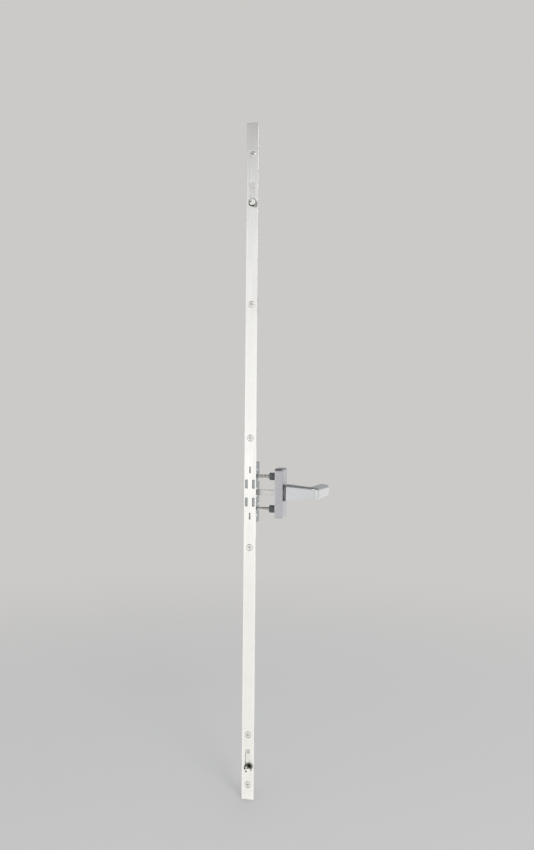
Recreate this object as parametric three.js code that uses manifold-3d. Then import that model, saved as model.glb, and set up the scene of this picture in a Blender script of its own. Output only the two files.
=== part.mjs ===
// Operating gear of an inward-opening timber window: a lever handle on its rose turns a square spindle,
// a toothed follower in a slim gearbox moves a punched drive rod, and the rod carries two locking cams
// along the faceplate of the sash edge.
// Millimetres. +Z is up, -Y looks out of the sash edge, +X is the room side where the handle is.
// The origin is on the front of the faceplate, on its centre line, at the height of the spindle.
import * as THREE from 'three';
import { mergeVertices } from 'three/addons/utils/BufferGeometryUtils.js';
import Module from 'manifold-3d';

// Shared fits
const runGap = 0.3;
const overrun = 1;

// Mechanism
const backset = 15;
const toothPitch = 6;
const teethPerTurn = 12;
const workingTeeth = 4;
const restDroop = 2.3;
const pitchRadius = toothPitch * teethPerTurn / (2 * Math.PI);
const toothAngle = 2 * Math.PI / teethPerTurn;
const stroke = toothPitch * teethPerTurn / 4;
const restLift = pitchRadius * THREE.MathUtils.degToRad(restDroop);

// Faceplate
const faceWidth = 16;
const faceThick = 2;
const faceAboveTopScrew = 40.4;
const faceBelowBottomScrew = 20;
const upperScrewHeight = 247.1;
const screwAboveGear = 72.2;
const screwBelowGear = -71.3;
const topScrewAboveSlot = 35.4;
const lowerScrewAboveSlot = 18.7;
const bottomScrewBelowHole = 22.6;

// Keyholes for the cams: the height of each wide hole, and the slot above it
const keyholeSlot = 7.2;
const keyholeWide = 10.7;
const upperKeyholeHeight = 380.1;
const upperSlotLength = 28.1;
const lowerKeyholeHeight = -360.4;
const lowerSlotLength = 24.2;

// Drive rod
const rodWidth = 10;
const rodThick = 2.5;
const rodWaist = 5.8;
const rodAboveUpperHole = 18.9;
const rodBelowLowerHole = 12.6;
const rodShoulder = 2.1;
const windowWidth = 3.4;
const windowHeight = 3.4;
const rodSlotSpareBelow = 5.4;
const rodSlotSpareAbove = 1;

// Rod guides
const guideHeight = 24;
const guideWall = 1.5;
const guideSide = 1.9;

// Faceplate screws
const faceScrewHead = 8.4;
const faceScrewShank = 4.2;
const faceScrewLength = 35;
const faceScrewPoint = 5;
const faceHeadDepth = 2.3;
const crossWidth = 1.1;
const crossReach = 4.6;
const crossDepth = 1.5;

// Gear case
const caseHalfWidth = 6.5;
const caseHalfHeight = 40;
const caseBack = 27;
const caseShoulder = 30;
const caseShoulderBack = 18;
const casePart = 0.3;
const lugInner = 3.25;
const lugOuter = 6.15;
const lugLow = 6.3;
const lugHigh = 17.3;
const lugRecess = 1;
const spacerThick = 1.4;
const spacerLow = 26.3;
const spacerHigh = 34.4;
const spacerFlange = 1.6;
const spacerBack = 22;
const spacerRecess = 1.2;
const rivetShank = 1.5;
const rivetHead = 2.6;
const rivetHeadThick = 0.8;
const outerRivetHeight = 30.4;
const outerRivetBack = 14;
const innerRivetHeight = 16;
const innerRivetBack = 23;

// Follower and spindle
const followerThick = 2.8;
const followerRoot = 9.4;
const followerTip = 12.5;
const toothRootWidth = 2.9;
const toothPitchWidth = 2.5;
const toothTipWidth = 1.5;
const hubRadius = 6.6;
const hubHalfLength = 6.2;
const spindleWidth = 7;
const spindleStart = -6;
const spindleEnd = 64;

// Locking cams: places below the wide holes, and the eccentric that sets how hard they pull the sash shut
const upperCamBelowHole = 1.5;
const lowerCamBelowHole = 2;
const camEccentric = 2;
const camProud = 9;
const camHeadRadius = 3.9;
const camHeadThick = 2.2;
const camBodyRadius = 3.4;
const camEdge = 0.5;
const camJournalRadius = 3;
const camShankRadius = 1.9;
const camRivetRadius = 2.9;
const camRivetThick = 0.8;
const camSocketRadius = 1.3;
const camSocketDepth = 3;

// Rose
const roseSeat = 33.2;
const roseHeight = 65.2;
const roseWidth = 32;
const roseDepth = 10.4;
const roseCorner = 3.8;
const roseEdge = 2.2;
const roseWall = 1.6;
const baseThick = 3.5;
const boltSpacing = 43;
const pegRadius = 5;
const pegLength = 10;
const bossRadius = 13.4;
const bossRecessRadius = 12;
const ledgeThick = 1.5;
const boltRadius = 2.45;
const boltHeadRadius = 4.4;
const boltHeadThick = 2.8;
const boltEnd = -5.5;

// Handle neck and its bearing
const neckRadius = 8;
const neckStart = 33.6;
const grooveStart = 34.3;
const circlipThick = 1.2;
const circlipOuter = 10.6;
const grooveDepth = 0.9;
const circlipOpening = 40;
const washerThick = 0.5;
const washerWave = 0.25;
const washerWaves = 3;
const washerOuter = 11.4;
const bushWall = 1;
const bushFlange = 10.4;
const bushFlangeThick = 1.6;

// Lever
const leverStart = 46;
const leverReachAtBend = 89.2;
const leverReachAtTip = 87.6;
const leverLength = 112;
const legDepthAtRose = 20;
const legDepthAtBend = 14;
const legHeightAtRose = 23.4;
const legHeightAtBend = 17.4;
const gripHeightAtBend = 16.6;
const gripHeightAtTip = 15;
const gripThickAtBend = 14.6;
const gripThickAtTip = 13.2;
const bendOuterRadius = 9;
const bendInnerRadius = 5;
const legEdge = 4;
const gripEdge = 4.4;
const leverInnerEdge = 1.8;
const gripFlare = 3;
const leverBackEdge = 1.5;
const leverTipEdge = 3.6;
const grubRadius = 2.4;
const grubLength = 5;
const grubOffset = 6.5;
const grubSocketRadius = 1.2;
const grubSocketDepth = 2.5;

// Facets
const roundSides = 24;
const smallSides = 16;
const curveSegments = 8;
const cornerSteps = 5;
const legSteps = 3;
const bendSteps = 9;
const gripSteps = 5;
const edgeSteps = 4;

// Places worked out from the sizes above
const rodFront = faceThick + runGap;
const rodBack = rodFront + rodThick;
const caseFront = rodBack + runGap;
const keyholeHalf = keyholeSlot / 2;
const upperKeyholeTop = upperKeyholeHeight + upperSlotLength;
const lowerKeyholeTop = lowerKeyholeHeight + lowerSlotLength;
const upperCamHeight = upperKeyholeHeight - upperCamBelowHole;
const lowerCamHeight = lowerKeyholeHeight - lowerCamBelowHole;
const rodTop = upperKeyholeHeight + rodAboveUpperHole;
const rodBottom = lowerKeyholeHeight - rodBelowLowerHole;
const screwHeights = {
  top: upperKeyholeTop + topScrewAboveSlot,
  upper: upperScrewHeight,
  above_gear: screwAboveGear,
  below_gear: screwBelowGear,
  lower: lowerKeyholeTop + lowerScrewAboveSlot,
  bottom: lowerKeyholeHeight - bottomScrewBelowHole,
};
const faceTop = screwHeights.top + faceAboveTopScrew;
const faceBottom = screwHeights.bottom - faceBelowBottomScrew;
const boltHeight = boltSpacing / 2;
const roseFront = roseSeat + roseDepth;
const roseInside = roseFront - roseWall;
const squareHole = spindleWidth + 2 * runGap;
const neckBore = neckRadius + runGap;
const ledgeStart = grooveStart + circlipThick + washerThick + 2 * washerWave + 4 * runGap;

const wasm = await Module();
wasm.setup();

// A range of places, or its mirror image on the other side of zero, lowest first
function mirrored(side, low, high) {
  return side > 0 ? [low, high] : [-high, -low];
}

// A closed geometry as a solid that can be cut and joined
function solidOf(geometry) {
  const plain = geometry.clone();
  plain.deleteAttribute('normal');
  plain.deleteAttribute('uv');
  const merged = mergeVertices(plain, 1e-5);
  const vertProperties = new Float32Array(merged.attributes.position.array);
  const triVerts = new Uint32Array(merged.index.array);
  return new wasm.Manifold(new wasm.Mesh({ numProp: 3, vertProperties, triVerts }));
}

function geometryOf(solid) {
  const mesh = solid.getMesh();
  const geometry = new THREE.BufferGeometry();
  geometry.setAttribute('position', new THREE.BufferAttribute(new Float32Array(mesh.vertProperties), 3));
  geometry.setIndex(new THREE.BufferAttribute(new Uint32Array(mesh.triVerts), 1));
  geometry.computeVertexNormals();
  return geometry;
}

function cut(geometry, tools) {
  let solid = solidOf(geometry);
  for (const tool of tools) {
    solid = solid.subtract(solidOf(tool));
  }
  return geometryOf(solid);
}

function join(geometries) {
  let solid = solidOf(geometries[0]);
  for (const geometry of geometries.slice(1)) {
    solid = solid.add(solidOf(geometry));
  }
  return geometryOf(solid);
}

// A box between two corners
function block(x0, x1, y0, y1, z0, z1) {
  const geometry = new THREE.BoxGeometry(x1 - x0, y1 - y0, z1 - z0);
  return geometry.translate((x0 + x1) / 2, (y0 + y1) / 2, (z0 + z1) / 2);
}

// A round bar or cone from one end to the other along X, at height z and depth y
function barX(x0, x1, y, z, radius, sides = roundSides) {
  const geometry = new THREE.CylinderGeometry(radius, radius, x1 - x0, sides);
  geometry.rotateZ(-Math.PI / 2);
  return geometry.translate((x0 + x1) / 2, y, z);
}

// A round bar or cone along Y, with its radius at the front and at the back
function barY(y0, y1, x, z, frontRadius, backRadius = frontRadius, sides = roundSides) {
  const geometry = new THREE.CylinderGeometry(backRadius, frontRadius, y1 - y0, sides);
  return geometry.translate(x, (y0 + y1) / 2, z);
}

// A turned shape about the Y axis, from points of [radius, y]
function turnedY(points, sides = roundSides) {
  return new THREE.LatheGeometry(points.map(([r, y]) => new THREE.Vector2(r, y)), sides);
}

// A turned shape about the X axis, from points of [radius, x]
function turnedX(points, sides = roundSides) {
  return turnedY(points, sides).rotateZ(-Math.PI / 2);
}

// A flat strip cut from sheet: an outline in x and z with a thickness along Y, its front at y0
function sheet(shape, y0, thick) {
  const geometry = new THREE.ExtrudeGeometry(shape, { depth: thick, bevelEnabled: false, curveSegments });
  geometry.rotateX(Math.PI / 2);
  return geometry.translate(0, y0 + thick, 0);
}

// A plate cut to an outline in y and z, with its thickness along X from x0 to x1
function plate(shape, x0, x1) {
  const geometry = new THREE.ExtrudeGeometry(shape, { depth: x1 - x0, bevelEnabled: false, curveSegments });
  const toward = new THREE.Matrix4().makeBasis(
    new THREE.Vector3(0, 1, 0),
    new THREE.Vector3(0, 0, 1),
    new THREE.Vector3(1, 0, 0),
  );
  return geometry.applyMatrix4(toward).translate(x0, 0, 0);
}

// A rectangle with rounded corners: those on its far side in x can have a radius of their own
function roundedRectangle(Kind, x0, x1, y0, y1, radius, farRadius = radius) {
  const path = new Kind();
  path.moveTo(x0 + radius, y0);
  path.absarc(x1 - farRadius, y0 + farRadius, farRadius, -Math.PI / 2, 0, false);
  path.absarc(x1 - farRadius, y1 - farRadius, farRadius, 0, Math.PI / 2, false);
  path.absarc(x0 + radius, y1 - radius, radius, Math.PI / 2, Math.PI, false);
  path.absarc(x0 + radius, y0 + radius, radius, Math.PI, 3 * Math.PI / 2, false);
  return path;
}

// A straight slot with round ends, between the heights of its two end centres
function roundSlot(low, high, radius) {
  const shape = new THREE.Shape();
  shape.absarc(0, high, radius, 0, Math.PI, false);
  shape.absarc(0, low, radius, Math.PI, 2 * Math.PI, false);
  shape.closePath();
  return shape;
}

// A skin through a row of stations, each a rounded rectangle with a middle, two directions and a size,
// and a flare: how much taller its far side is
function loft(stations) {
  const rings = stations.map((station) => {
    const { middle, across, up, width, height, edge, farEdge, flare = 0 } = station;
    const outline = roundedRectangle(
      THREE.Path, -width / 2, width / 2, -height / 2, height / 2, edge, farEdge);
    return cornerPoints(outline).map((p) => {
      const widening = 1 + (flare / height) * (p.x / width + 1 / 2);
      return middle.clone().addScaledVector(across, p.x).addScaledVector(up, p.y * widening);
    });
  });
  const count = rings[0].length;
  const points = rings.flat();
  const firstMiddle = points.length;
  points.push(stations[0].middle.clone(), stations[stations.length - 1].middle.clone());
  const faces = [];
  for (let ring = 0; ring < rings.length - 1; ring += 1) {
    for (let i = 0; i < count; i += 1) {
      const a = ring * count + i;
      const b = ring * count + (i + 1) % count;
      faces.push(a, b, b + count, a, b + count, a + count);
    }
  }
  const last = (rings.length - 1) * count;
  for (let i = 0; i < count; i += 1) {
    const next = (i + 1) % count;
    faces.push(firstMiddle, next, i, firstMiddle + 1, last + i, last + next);
  }
  const geometry = new THREE.BufferGeometry().setFromPoints(points);
  geometry.setIndex(faces);
  geometry.computeVertexNormals();
  return geometry;
}

// The points of a rounded rectangle, with the same number on every corner
function cornerPoints(outline) {
  const points = [];
  for (const curve of outline.curves.filter((c) => c.isEllipseCurve)) {
    points.push(...curve.getPoints(cornerSteps));
  }
  return points;
}

// How far an edge of this rounding has drawn in at a distance from its end
function drawnIn(rounding, distance) {
  const t = Math.max(0, 1 - distance / rounding);
  return rounding * (1 - Math.sqrt(1 - t * t));
}

function finish(color, roughness, metalness) {
  return () => new THREE.MeshStandardMaterial({ color, roughness, metalness });
}

const brightZinc = finish(0xe6e7e4, 0.3, 0.9);
const rodZinc = finish(0xeceded, 0.28, 0.9);
const dieCastZinc = finish(0x9fa3a5, 0.45, 0.8);
const hardSteel = finish(0x8d9092, 0.4, 0.9);
const satinSilver = finish(0xc6cacd, 0.38, 0.75);
const darkNylon = finish(0x2e3032, 0.6, 0);
const greyNylon = finish(0x6f7376, 0.65, 0);
const springSteel = finish(0x7e8486, 0.35, 0.9);

function piece(name, geometry, material) {
  const mesh = new THREE.Mesh(geometry, material());
  mesh.name = name;
  return mesh;
}

// Faceplate: a flat zinc-plated strip with countersunk holes, two keyholes, and the gear case's openings
function keyhole(height, top) {
  const shape = new THREE.Shape();
  const meet = Math.asin(keyholeSlot / keyholeWide);
  shape.absarc(0, top - keyholeHalf, keyholeHalf, 0, Math.PI, false);
  shape.absarc(0, height, keyholeWide / 2, Math.PI / 2 + meet, 5 * Math.PI / 2 - meet, false);
  shape.closePath();
  return shape;
}

function faceplate() {
  const half = faceWidth / 2;
  const through = [-overrun, faceThick + overrun];
  const punchThick = faceThick + 2 * overrun;
  const tools = [
    sheet(keyhole(upperKeyholeHeight, upperKeyholeTop), -overrun, punchThick),
    sheet(keyhole(lowerKeyholeHeight, lowerKeyholeTop), -overrun, punchThick),
  ];
  const slitHalf = spacerThick / 2 + runGap;
  for (const end of [-1, 1]) {
    const slitHeight = mirrored(end, spacerLow - runGap, spacerHigh + runGap);
    const lugHeight = mirrored(end, lugLow - runGap, lugHigh + runGap);
    tools.push(block(-slitHalf, slitHalf, ...through, ...slitHeight));
    for (const edge of [-1, 1]) {
      const lugAcross = mirrored(edge, lugInner - runGap, lugOuter + runGap);
      tools.push(block(...lugAcross, ...through, ...lugHeight));
    }
  }
  const slope = (faceScrewHead - faceScrewShank) / 2 / faceHeadDepth;
  const front = faceScrewHead / 2 + runGap + slope * overrun;
  const back = front - slope * punchThick;
  for (const height of Object.values(screwHeights)) {
    tools.push(barY(...through, 0, height, front, back));
  }
  const strip = block(-half, half, 0, faceThick, faceBottom, faceTop);
  return piece('faceplate', cut(strip, tools), brightZinc);
}

// Wood screws of the faceplate: countersunk heads with a cross recess
function faceScrew(name, height) {
  const head = faceScrewHead / 2;
  const shank = faceScrewShank / 2;
  const body = turnedY([
    [0, faceScrewLength],
    [shank, faceScrewLength - faceScrewPoint],
    [shank, faceHeadDepth],
    [head, 0],
    [0, 0],
  ].reverse());
  const arm = crossReach / 2;
  const web = crossWidth / 2;
  const screw = cut(body, [
    block(-arm, arm, -overrun, crossDepth, -web, web),
    block(-web, web, -overrun, crossDepth, -arm, arm),
  ]);
  const mesh = piece(`face_screw_${name}`, screw, hardSteel);
  mesh.position.z = height;
  return mesh;
}

// The faceplate screws that the drive rod passes, with their heights
function passingScrews() {
  return Object.entries(screwHeights).filter(([, height]) => height < rodTop && height > rodBottom);
}

// Drive rod: a flat bar that slides behind the faceplate, with punched windows for the follower's teeth,
// slots for what passes through it, and a narrow waist between the gear case's lugs
function driveRod() {
  const half = rodWidth / 2;
  const waist = rodWaist / 2;
  const waistTop = lugHigh + 2 * runGap;
  const waistBottom = -lugHigh - stroke - 2 * runGap;
  const outline = new THREE.Shape();
  outline.moveTo(-half, rodBottom);
  outline.lineTo(half, rodBottom);
  outline.lineTo(half, waistBottom - rodShoulder);
  outline.lineTo(waist, waistBottom);
  outline.lineTo(waist, waistTop);
  outline.lineTo(half, waistTop + rodShoulder);
  outline.lineTo(half, rodTop);
  outline.lineTo(-half, rodTop);
  outline.lineTo(-half, waistTop + rodShoulder);
  outline.lineTo(-waist, waistTop);
  outline.lineTo(-waist, waistBottom);
  outline.lineTo(-half, waistBottom - rodShoulder);
  outline.closePath();

  const through = [rodFront - overrun, rodBack + overrun];
  const punchThick = rodThick + 2 * overrun;
  const tools = [];
  for (let i = 0; i < workingTeeth; i += 1) {
    const middle = -i * toothPitch;
    const side = windowWidth / 2;
    const rise = windowHeight / 2;
    tools.push(block(-side, side, ...through, middle - rise, middle + rise));
  }
  const tabHalf = spacerThick / 2 + runGap;
  for (const end of [-1, 1]) {
    const [low, high] = mirrored(end, spacerLow - 2 * runGap, spacerHigh + 2 * runGap);
    tools.push(block(-tabHalf, tabHalf, ...through, low - stroke, high));
  }
  for (const [, height] of passingScrews()) {
    const low = height - stroke - rodSlotSpareBelow;
    const slot = roundSlot(low, height + rodSlotSpareAbove, faceScrewShank / 2 + runGap);
    tools.push(sheet(slot, rodFront - overrun, punchThick));
  }
  for (const height of [upperCamHeight, lowerCamHeight]) {
    tools.push(barY(...through, 0, height, camShankRadius + runGap));
  }
  return piece('drive_rod', cut(sheet(outline, rodFront, rodThick), tools), rodZinc);
}

// Rod guide: a nylon channel that holds the rod to the back of the faceplate at a screw
function rodGuide(name, height) {
  const inner = rodWidth / 2 + runGap;
  const outer = inner + guideSide;
  const front = faceThick + runGap;
  const floor = rodBack + runGap;
  const back = floor + guideWall;
  const profile = new THREE.Shape();
  profile.moveTo(-outer, front);
  profile.lineTo(-inner, front);
  profile.lineTo(-inner, floor);
  profile.lineTo(inner, floor);
  profile.lineTo(inner, front);
  profile.lineTo(outer, front);
  profile.lineTo(outer, back);
  profile.lineTo(-outer, back);
  profile.closePath();
  const channel = new THREE.ExtrudeGeometry(profile, { depth: guideHeight, bevelEnabled: false });
  channel.translate(0, 0, -guideHeight / 2);
  const hole = barY(front, back + overrun, 0, 0, faceScrewShank / 2 + runGap, undefined, smallSides);
  const mesh = piece(`rod_guide_${name}`, cut(channel, [hole]), greyNylon);
  mesh.position.z = height;
  return mesh;
}

// Locking cam: its shank turns in the rod, and its head stands off centre so that a turn sets the pull
function cam(name, height) {
  const outer = -camProud;
  const under = outer + camHeadThick;
  const bodyEnd = -runGap;
  const journalFront = -3 * runGap;
  const journalBack = rodFront - runGap;
  const rivetFront = rodBack + runGap;
  const rivetBack = rivetFront + camRivetThick;
  const shank = turnedY([
    [0, journalFront],
    [camJournalRadius, journalFront],
    [camJournalRadius, journalBack],
    [camShankRadius, journalBack],
    [camShankRadius, rivetFront],
    [camRivetRadius, rivetFront],
    [camRivetRadius, rivetBack],
    [0, rivetBack],
  ]);
  const head = turnedY([
    [0, outer],
    [camHeadRadius - camEdge, outer],
    [camHeadRadius, outer + camEdge],
    [camHeadRadius, under - camEdge],
    [camBodyRadius, under],
    [camBodyRadius, bodyEnd],
    [0, bodyEnd],
  ]);
  head.translate(camEccentric, 0, 0);
  const socket = barY(outer - overrun, outer + camSocketDepth, 0, 0, camSocketRadius, camSocketRadius, 6);
  const mesh = piece(`${name}_cam`, cut(join([shank, head]), [socket]), hardSteel);
  mesh.position.z = height;
  return mesh;
}

// Gear case: two die-cast halves with lugs that reach into the faceplate
function caseOutline() {
  const outline = new THREE.Shape();
  const high = caseHalfHeight;
  outline.moveTo(caseFront, -high);
  outline.lineTo(caseShoulderBack, -high);
  outline.lineTo(caseBack, -caseShoulder);
  outline.lineTo(caseBack, caseShoulder);
  outline.lineTo(caseShoulderBack, high);
  outline.lineTo(caseFront, high);
  outline.closePath();
  return outline;
}

function followerPocket() {
  const radius = followerTip + 2 * runGap;
  const pocket = new THREE.Shape();
  pocket.absarc(backset, 0, radius, Math.PI / 2 - toothAngle, 3 * Math.PI / 2 + toothAngle, false);
  pocket.closePath();
  return pocket;
}

function caseHalf(name, side) {
  const inner = casePart / 2;
  const outer = caseHalfWidth;
  const span = (a, b) => mirrored(side, a, b);
  const [x0, x1] = span(inner, outer);
  const lugs = [-1, 1].map((end) => {
    const height = mirrored(end, lugLow, lugHigh);
    return block(...span(lugInner, lugOuter), lugRecess, caseFront + overrun, ...height);
  });
  const body = join([plate(caseOutline(), x0, x1), ...lugs]);

  const pocket = plate(followerPocket(), ...span(-overrun, followerThick / 2 + runGap));
  const hubBore = barX(...span(-overrun, outer + overrun), backset, 0, hubRadius + runGap);
  const tools = [pocket, hubBore];
  for (const end of [-1, 1]) {
    const reach = mirrored(end, spacerLow - spacerFlange - runGap, spacerHigh + spacerFlange + runGap);
    const through = span(-overrun, outer + overrun);
    const recess = span(-overrun, spacerThick / 2 + runGap);
    tools.push(block(...recess, caseFront - overrun, spacerBack + runGap, ...reach));
    tools.push(barX(...through, backset, end * boltHeight, boltRadius + runGap, smallSides));
    for (const [y, z] of rivetPlaces(end)) {
      tools.push(barX(...through, y, z, rivetShank + runGap, smallSides));
      const seat = outer - rivetHeadThick - runGap;
      tools.push(barX(...span(seat, outer + overrun), y, z, rivetHead + runGap, smallSides));
    }
  }
  return piece(name, cut(body, tools), dieCastZinc);
}

function rivetPlaces(end) {
  return [
    [outerRivetBack, end * outerRivetHeight],
    [innerRivetBack, end * innerRivetHeight],
  ];
}

function caseRivet(name, y, z) {
  const face = caseHalfWidth;
  const under = face - rivetHeadThick;
  const rivet = turnedX([
    [0, -face],
    [rivetHead, -face],
    [rivetHead, -under],
    [rivetShank, -under],
    [rivetShank, under],
    [rivetHead, under],
    [rivetHead, face],
    [0, face],
  ], smallSides);
  const mesh = piece(name, rivet, hardSteel);
  mesh.position.set(0, y, z);
  return mesh;
}

// Spacer between the case halves: its tab guides the rod and reaches into the faceplate's slit
function spacer(name, end) {
  const outline = new THREE.Shape();
  const front = caseFront + runGap;
  const low = spacerLow;
  const high = spacerHigh;
  const flange = spacerFlange;
  outline.moveTo(spacerRecess, low);
  outline.lineTo(front, low);
  outline.lineTo(front, low - flange);
  outline.lineTo(spacerBack, low - flange);
  outline.lineTo(spacerBack, high + flange);
  outline.lineTo(front, high + flange);
  outline.lineTo(front, high);
  outline.lineTo(spacerRecess, high);
  outline.closePath();
  const hole = new THREE.Path().absarc(
    outerRivetBack, outerRivetHeight, rivetShank + runGap, 0, 2 * Math.PI, false);
  outline.holes.push(hole);
  const half = spacerThick / 2;
  const mesh = piece(name, plate(outline, -half, half), hardSteel);
  mesh.rotation.y = end > 0 ? 0 : Math.PI;
  return mesh;
}

// Follower: a hub on the spindle with a toothed sector that drives the rod
function followerShape() {
  const shape = new THREE.Shape();
  const at = (radius, angle, offset) => {
    const turn = angle + offset / radius;
    return [radius * Math.cos(turn), radius * Math.sin(turn)];
  };
  const first = Math.PI;
  const last = Math.PI + (workingTeeth - 1) * toothAngle;
  const shoulder = toothAngle / 2;
  shape.moveTo(...at(followerRoot, first - shoulder, 0));
  for (let i = 0; i < workingTeeth; i += 1) {
    const angle = first + i * toothAngle;
    shape.lineTo(...at(followerRoot, angle, -toothRootWidth / 2));
    shape.lineTo(...at(pitchRadius, angle, -toothPitchWidth / 2));
    shape.lineTo(...at(followerTip, angle, -toothTipWidth / 2));
    shape.lineTo(...at(followerTip, angle, toothTipWidth / 2));
    shape.lineTo(...at(pitchRadius, angle, toothPitchWidth / 2));
    shape.lineTo(...at(followerRoot, angle, toothRootWidth / 2));
    shape.lineTo(...at(followerRoot, angle + shoulder, 0));
  }
  shape.lineTo(...at(hubRadius, last + 2 * shoulder, 0));
  shape.absarc(0, 0, hubRadius, last + 2 * shoulder, first - 2 * shoulder + 2 * Math.PI, false);
  shape.closePath();
  return shape;
}

function follower() {
  const half = followerThick / 2;
  const sector = plate(followerShape(), -half, half);
  const hub = barX(-hubHalfLength, hubHalfLength, 0, 0, hubRadius);
  const side = squareHole / 2;
  const reach = hubHalfLength + overrun;
  const square = block(-reach, reach, -side, side, -side, side);
  return piece('follower', cut(join([sector, hub]), [square]), hardSteel);
}

function spindle() {
  const side = spindleWidth / 2;
  return piece('spindle', block(spindleStart, spindleEnd, -side, side, -side, side), hardSteel);
}

// Rose base: a moulded plate with two pegs for the sash and a boss for the handle's bearing
function roseBase() {
  const halfWidth = roseWidth / 2 - roseWall - runGap;
  const halfHeight = roseHeight / 2 - roseWall - runGap;
  const corner = roseCorner - roseWall;
  const outline = roundedRectangle(
    THREE.Shape, backset - halfWidth, backset + halfWidth, -halfHeight, halfHeight, corner);
  const bossFront = roseInside - runGap;
  const parts = [plate(outline, roseSeat, roseSeat + baseThick)];
  parts.push(barX(roseSeat, bossFront, backset, 0, bossRadius));
  const tools = [
    barX(roseSeat - overrun, ledgeStart, backset, 0, bossRecessRadius),
    barX(roseSeat - overrun, roseFront, backset, 0, neckBore),
    barX(ledgeStart + ledgeThick, roseFront, backset, 0, neckBore + bushWall + runGap),
  ];
  for (const end of [-1, 1]) {
    const z = end * boltHeight;
    const pegEnd = roseSeat - pegLength;
    parts.push(barX(pegEnd, roseSeat + baseThick, backset, z, pegRadius, smallSides));
    tools.push(barX(pegEnd - overrun, roseFront, backset, z, boltRadius + runGap, smallSides));
  }
  return piece('rose_base', cut(join(parts), tools), greyNylon);
}

// Rose cover: a thin cap with soft front edges that clips over the base and hides the two bolts
function roseCover() {
  const stations = [];
  const station = (x, inset) => ({
    middle: new THREE.Vector3(x, backset, 0),
    across: new THREE.Vector3(0, 1, 0),
    up: new THREE.Vector3(0, 0, 1),
    width: roseWidth - 2 * inset,
    height: roseHeight - 2 * inset,
    edge: roseCorner - inset,
  });
  stations.push(station(roseSeat, 0));
  for (let i = 0; i <= edgeSteps; i += 1) {
    const angle = (i / edgeSteps) * Math.PI / 2;
    const x = roseFront - roseEdge * (1 - Math.sin(angle));
    stations.push(station(x, roseEdge * (1 - Math.cos(angle))));
  }
  const halfWidth = roseWidth / 2 - roseWall;
  const halfHeight = roseHeight / 2 - roseWall;
  const inside = roundedRectangle(
    THREE.Shape, backset - halfWidth, backset + halfWidth, -halfHeight, halfHeight, roseCorner - roseWall);
  const cavity = plate(inside, roseSeat - overrun, roseInside);
  const opening = barX(roseSeat, roseFront + overrun, backset, 0, neckBore + bushWall + runGap);
  return piece('rose_cover', cut(loft(stations), [cavity, opening]), satinSilver);
}

// Rose bolts: they clamp the rose through the sash into the gear case
function roseBolt(name, end) {
  const headBack = roseSeat + baseThick + runGap;
  const headFront = headBack + boltHeadThick;
  const body = turnedX([
    [0, boltEnd],
    [boltRadius, boltEnd],
    [boltRadius, headBack],
    [boltHeadRadius, headBack],
    [boltHeadRadius, headFront],
    [0, headFront],
  ], smallSides);
  const arm = crossReach / 2;
  const web = crossWidth / 2;
  const floor = headFront - crossDepth;
  const bolt = cut(body, [
    block(floor, headFront + overrun, -arm, arm, -web, web),
    block(floor, headFront + overrun, -web, web, -arm, arm),
  ]);
  const mesh = piece(name, bolt, hardSteel);
  mesh.position.set(0, backset, end * boltHeight);
  return mesh;
}

// Neck bush: a nylon bearing whose flange fills the gap between rose and lever
function neckBush() {
  const outer = neckBore + bushWall;
  const flangeBack = roseFront + runGap;
  const start = ledgeStart + ledgeThick + runGap;
  const bush = turnedX([
    [neckBore, start],
    [outer, start],
    [outer, flangeBack],
    [bushFlange, flangeBack],
    [bushFlange, flangeBack + bushFlangeThick],
    [neckBore, flangeBack + bushFlangeThick],
    [neckBore, start],
  ]);
  const mesh = piece('neck_bush', bush, darkNylon);
  mesh.position.y = backset;
  return mesh;
}

// Wave washer and circlip: they hold the neck in the rose and give the handle its drag
function waveWasher() {
  const inner = neckBore;
  const middle = grooveStart + circlipThick + 2 * runGap + washerWave + washerThick / 2;
  const half = washerThick / 2;
  const ring = turnedX([
    [inner, -half],
    [washerOuter, -half],
    [washerOuter, half],
    [inner, half],
    [inner, -half],
  ], 2 * roundSides);
  const points = ring.attributes.position;
  for (let i = 0; i < points.count; i += 1) {
    const angle = Math.atan2(points.getZ(i), points.getY(i));
    points.setX(i, points.getX(i) + washerWave * Math.cos(washerWaves * angle));
  }
  const mesh = piece('wave_washer', ring, springSteel);
  mesh.position.set(middle, backset, 0);
  return mesh;
}

function circlip() {
  const inner = neckRadius - grooveDepth + runGap;
  const halfOpening = THREE.MathUtils.degToRad(circlipOpening / 2);
  const shape = new THREE.Shape();
  shape.absarc(0, 0, circlipOuter, halfOpening, 2 * Math.PI - halfOpening, false);
  shape.absarc(0, 0, inner, 2 * Math.PI - halfOpening, halfOpening, true);
  shape.closePath();
  const start = grooveStart + runGap;
  return piece('circlip', plate(shape, start, start + circlipThick - runGap), springSteel);
}

// Lever: a leg that stands out from the rose, a bend, and a tapering grip, all one casting
function leverStation(inner, outer, height, edge, flare, inset) {
  const across = inner.clone().sub(outer);
  const width = across.length() - 2 * inset;
  return {
    middle: inner.clone().add(outer).multiplyScalar(0.5),
    across: across.normalize(),
    up: new THREE.Vector3(0, 0, 1),
    width,
    height: height - 2 * inset,
    flare,
    edge: Math.max(edge - inset, runGap),
    farEdge: Math.max(leverInnerEdge - inset, runGap),
  };
}

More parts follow.
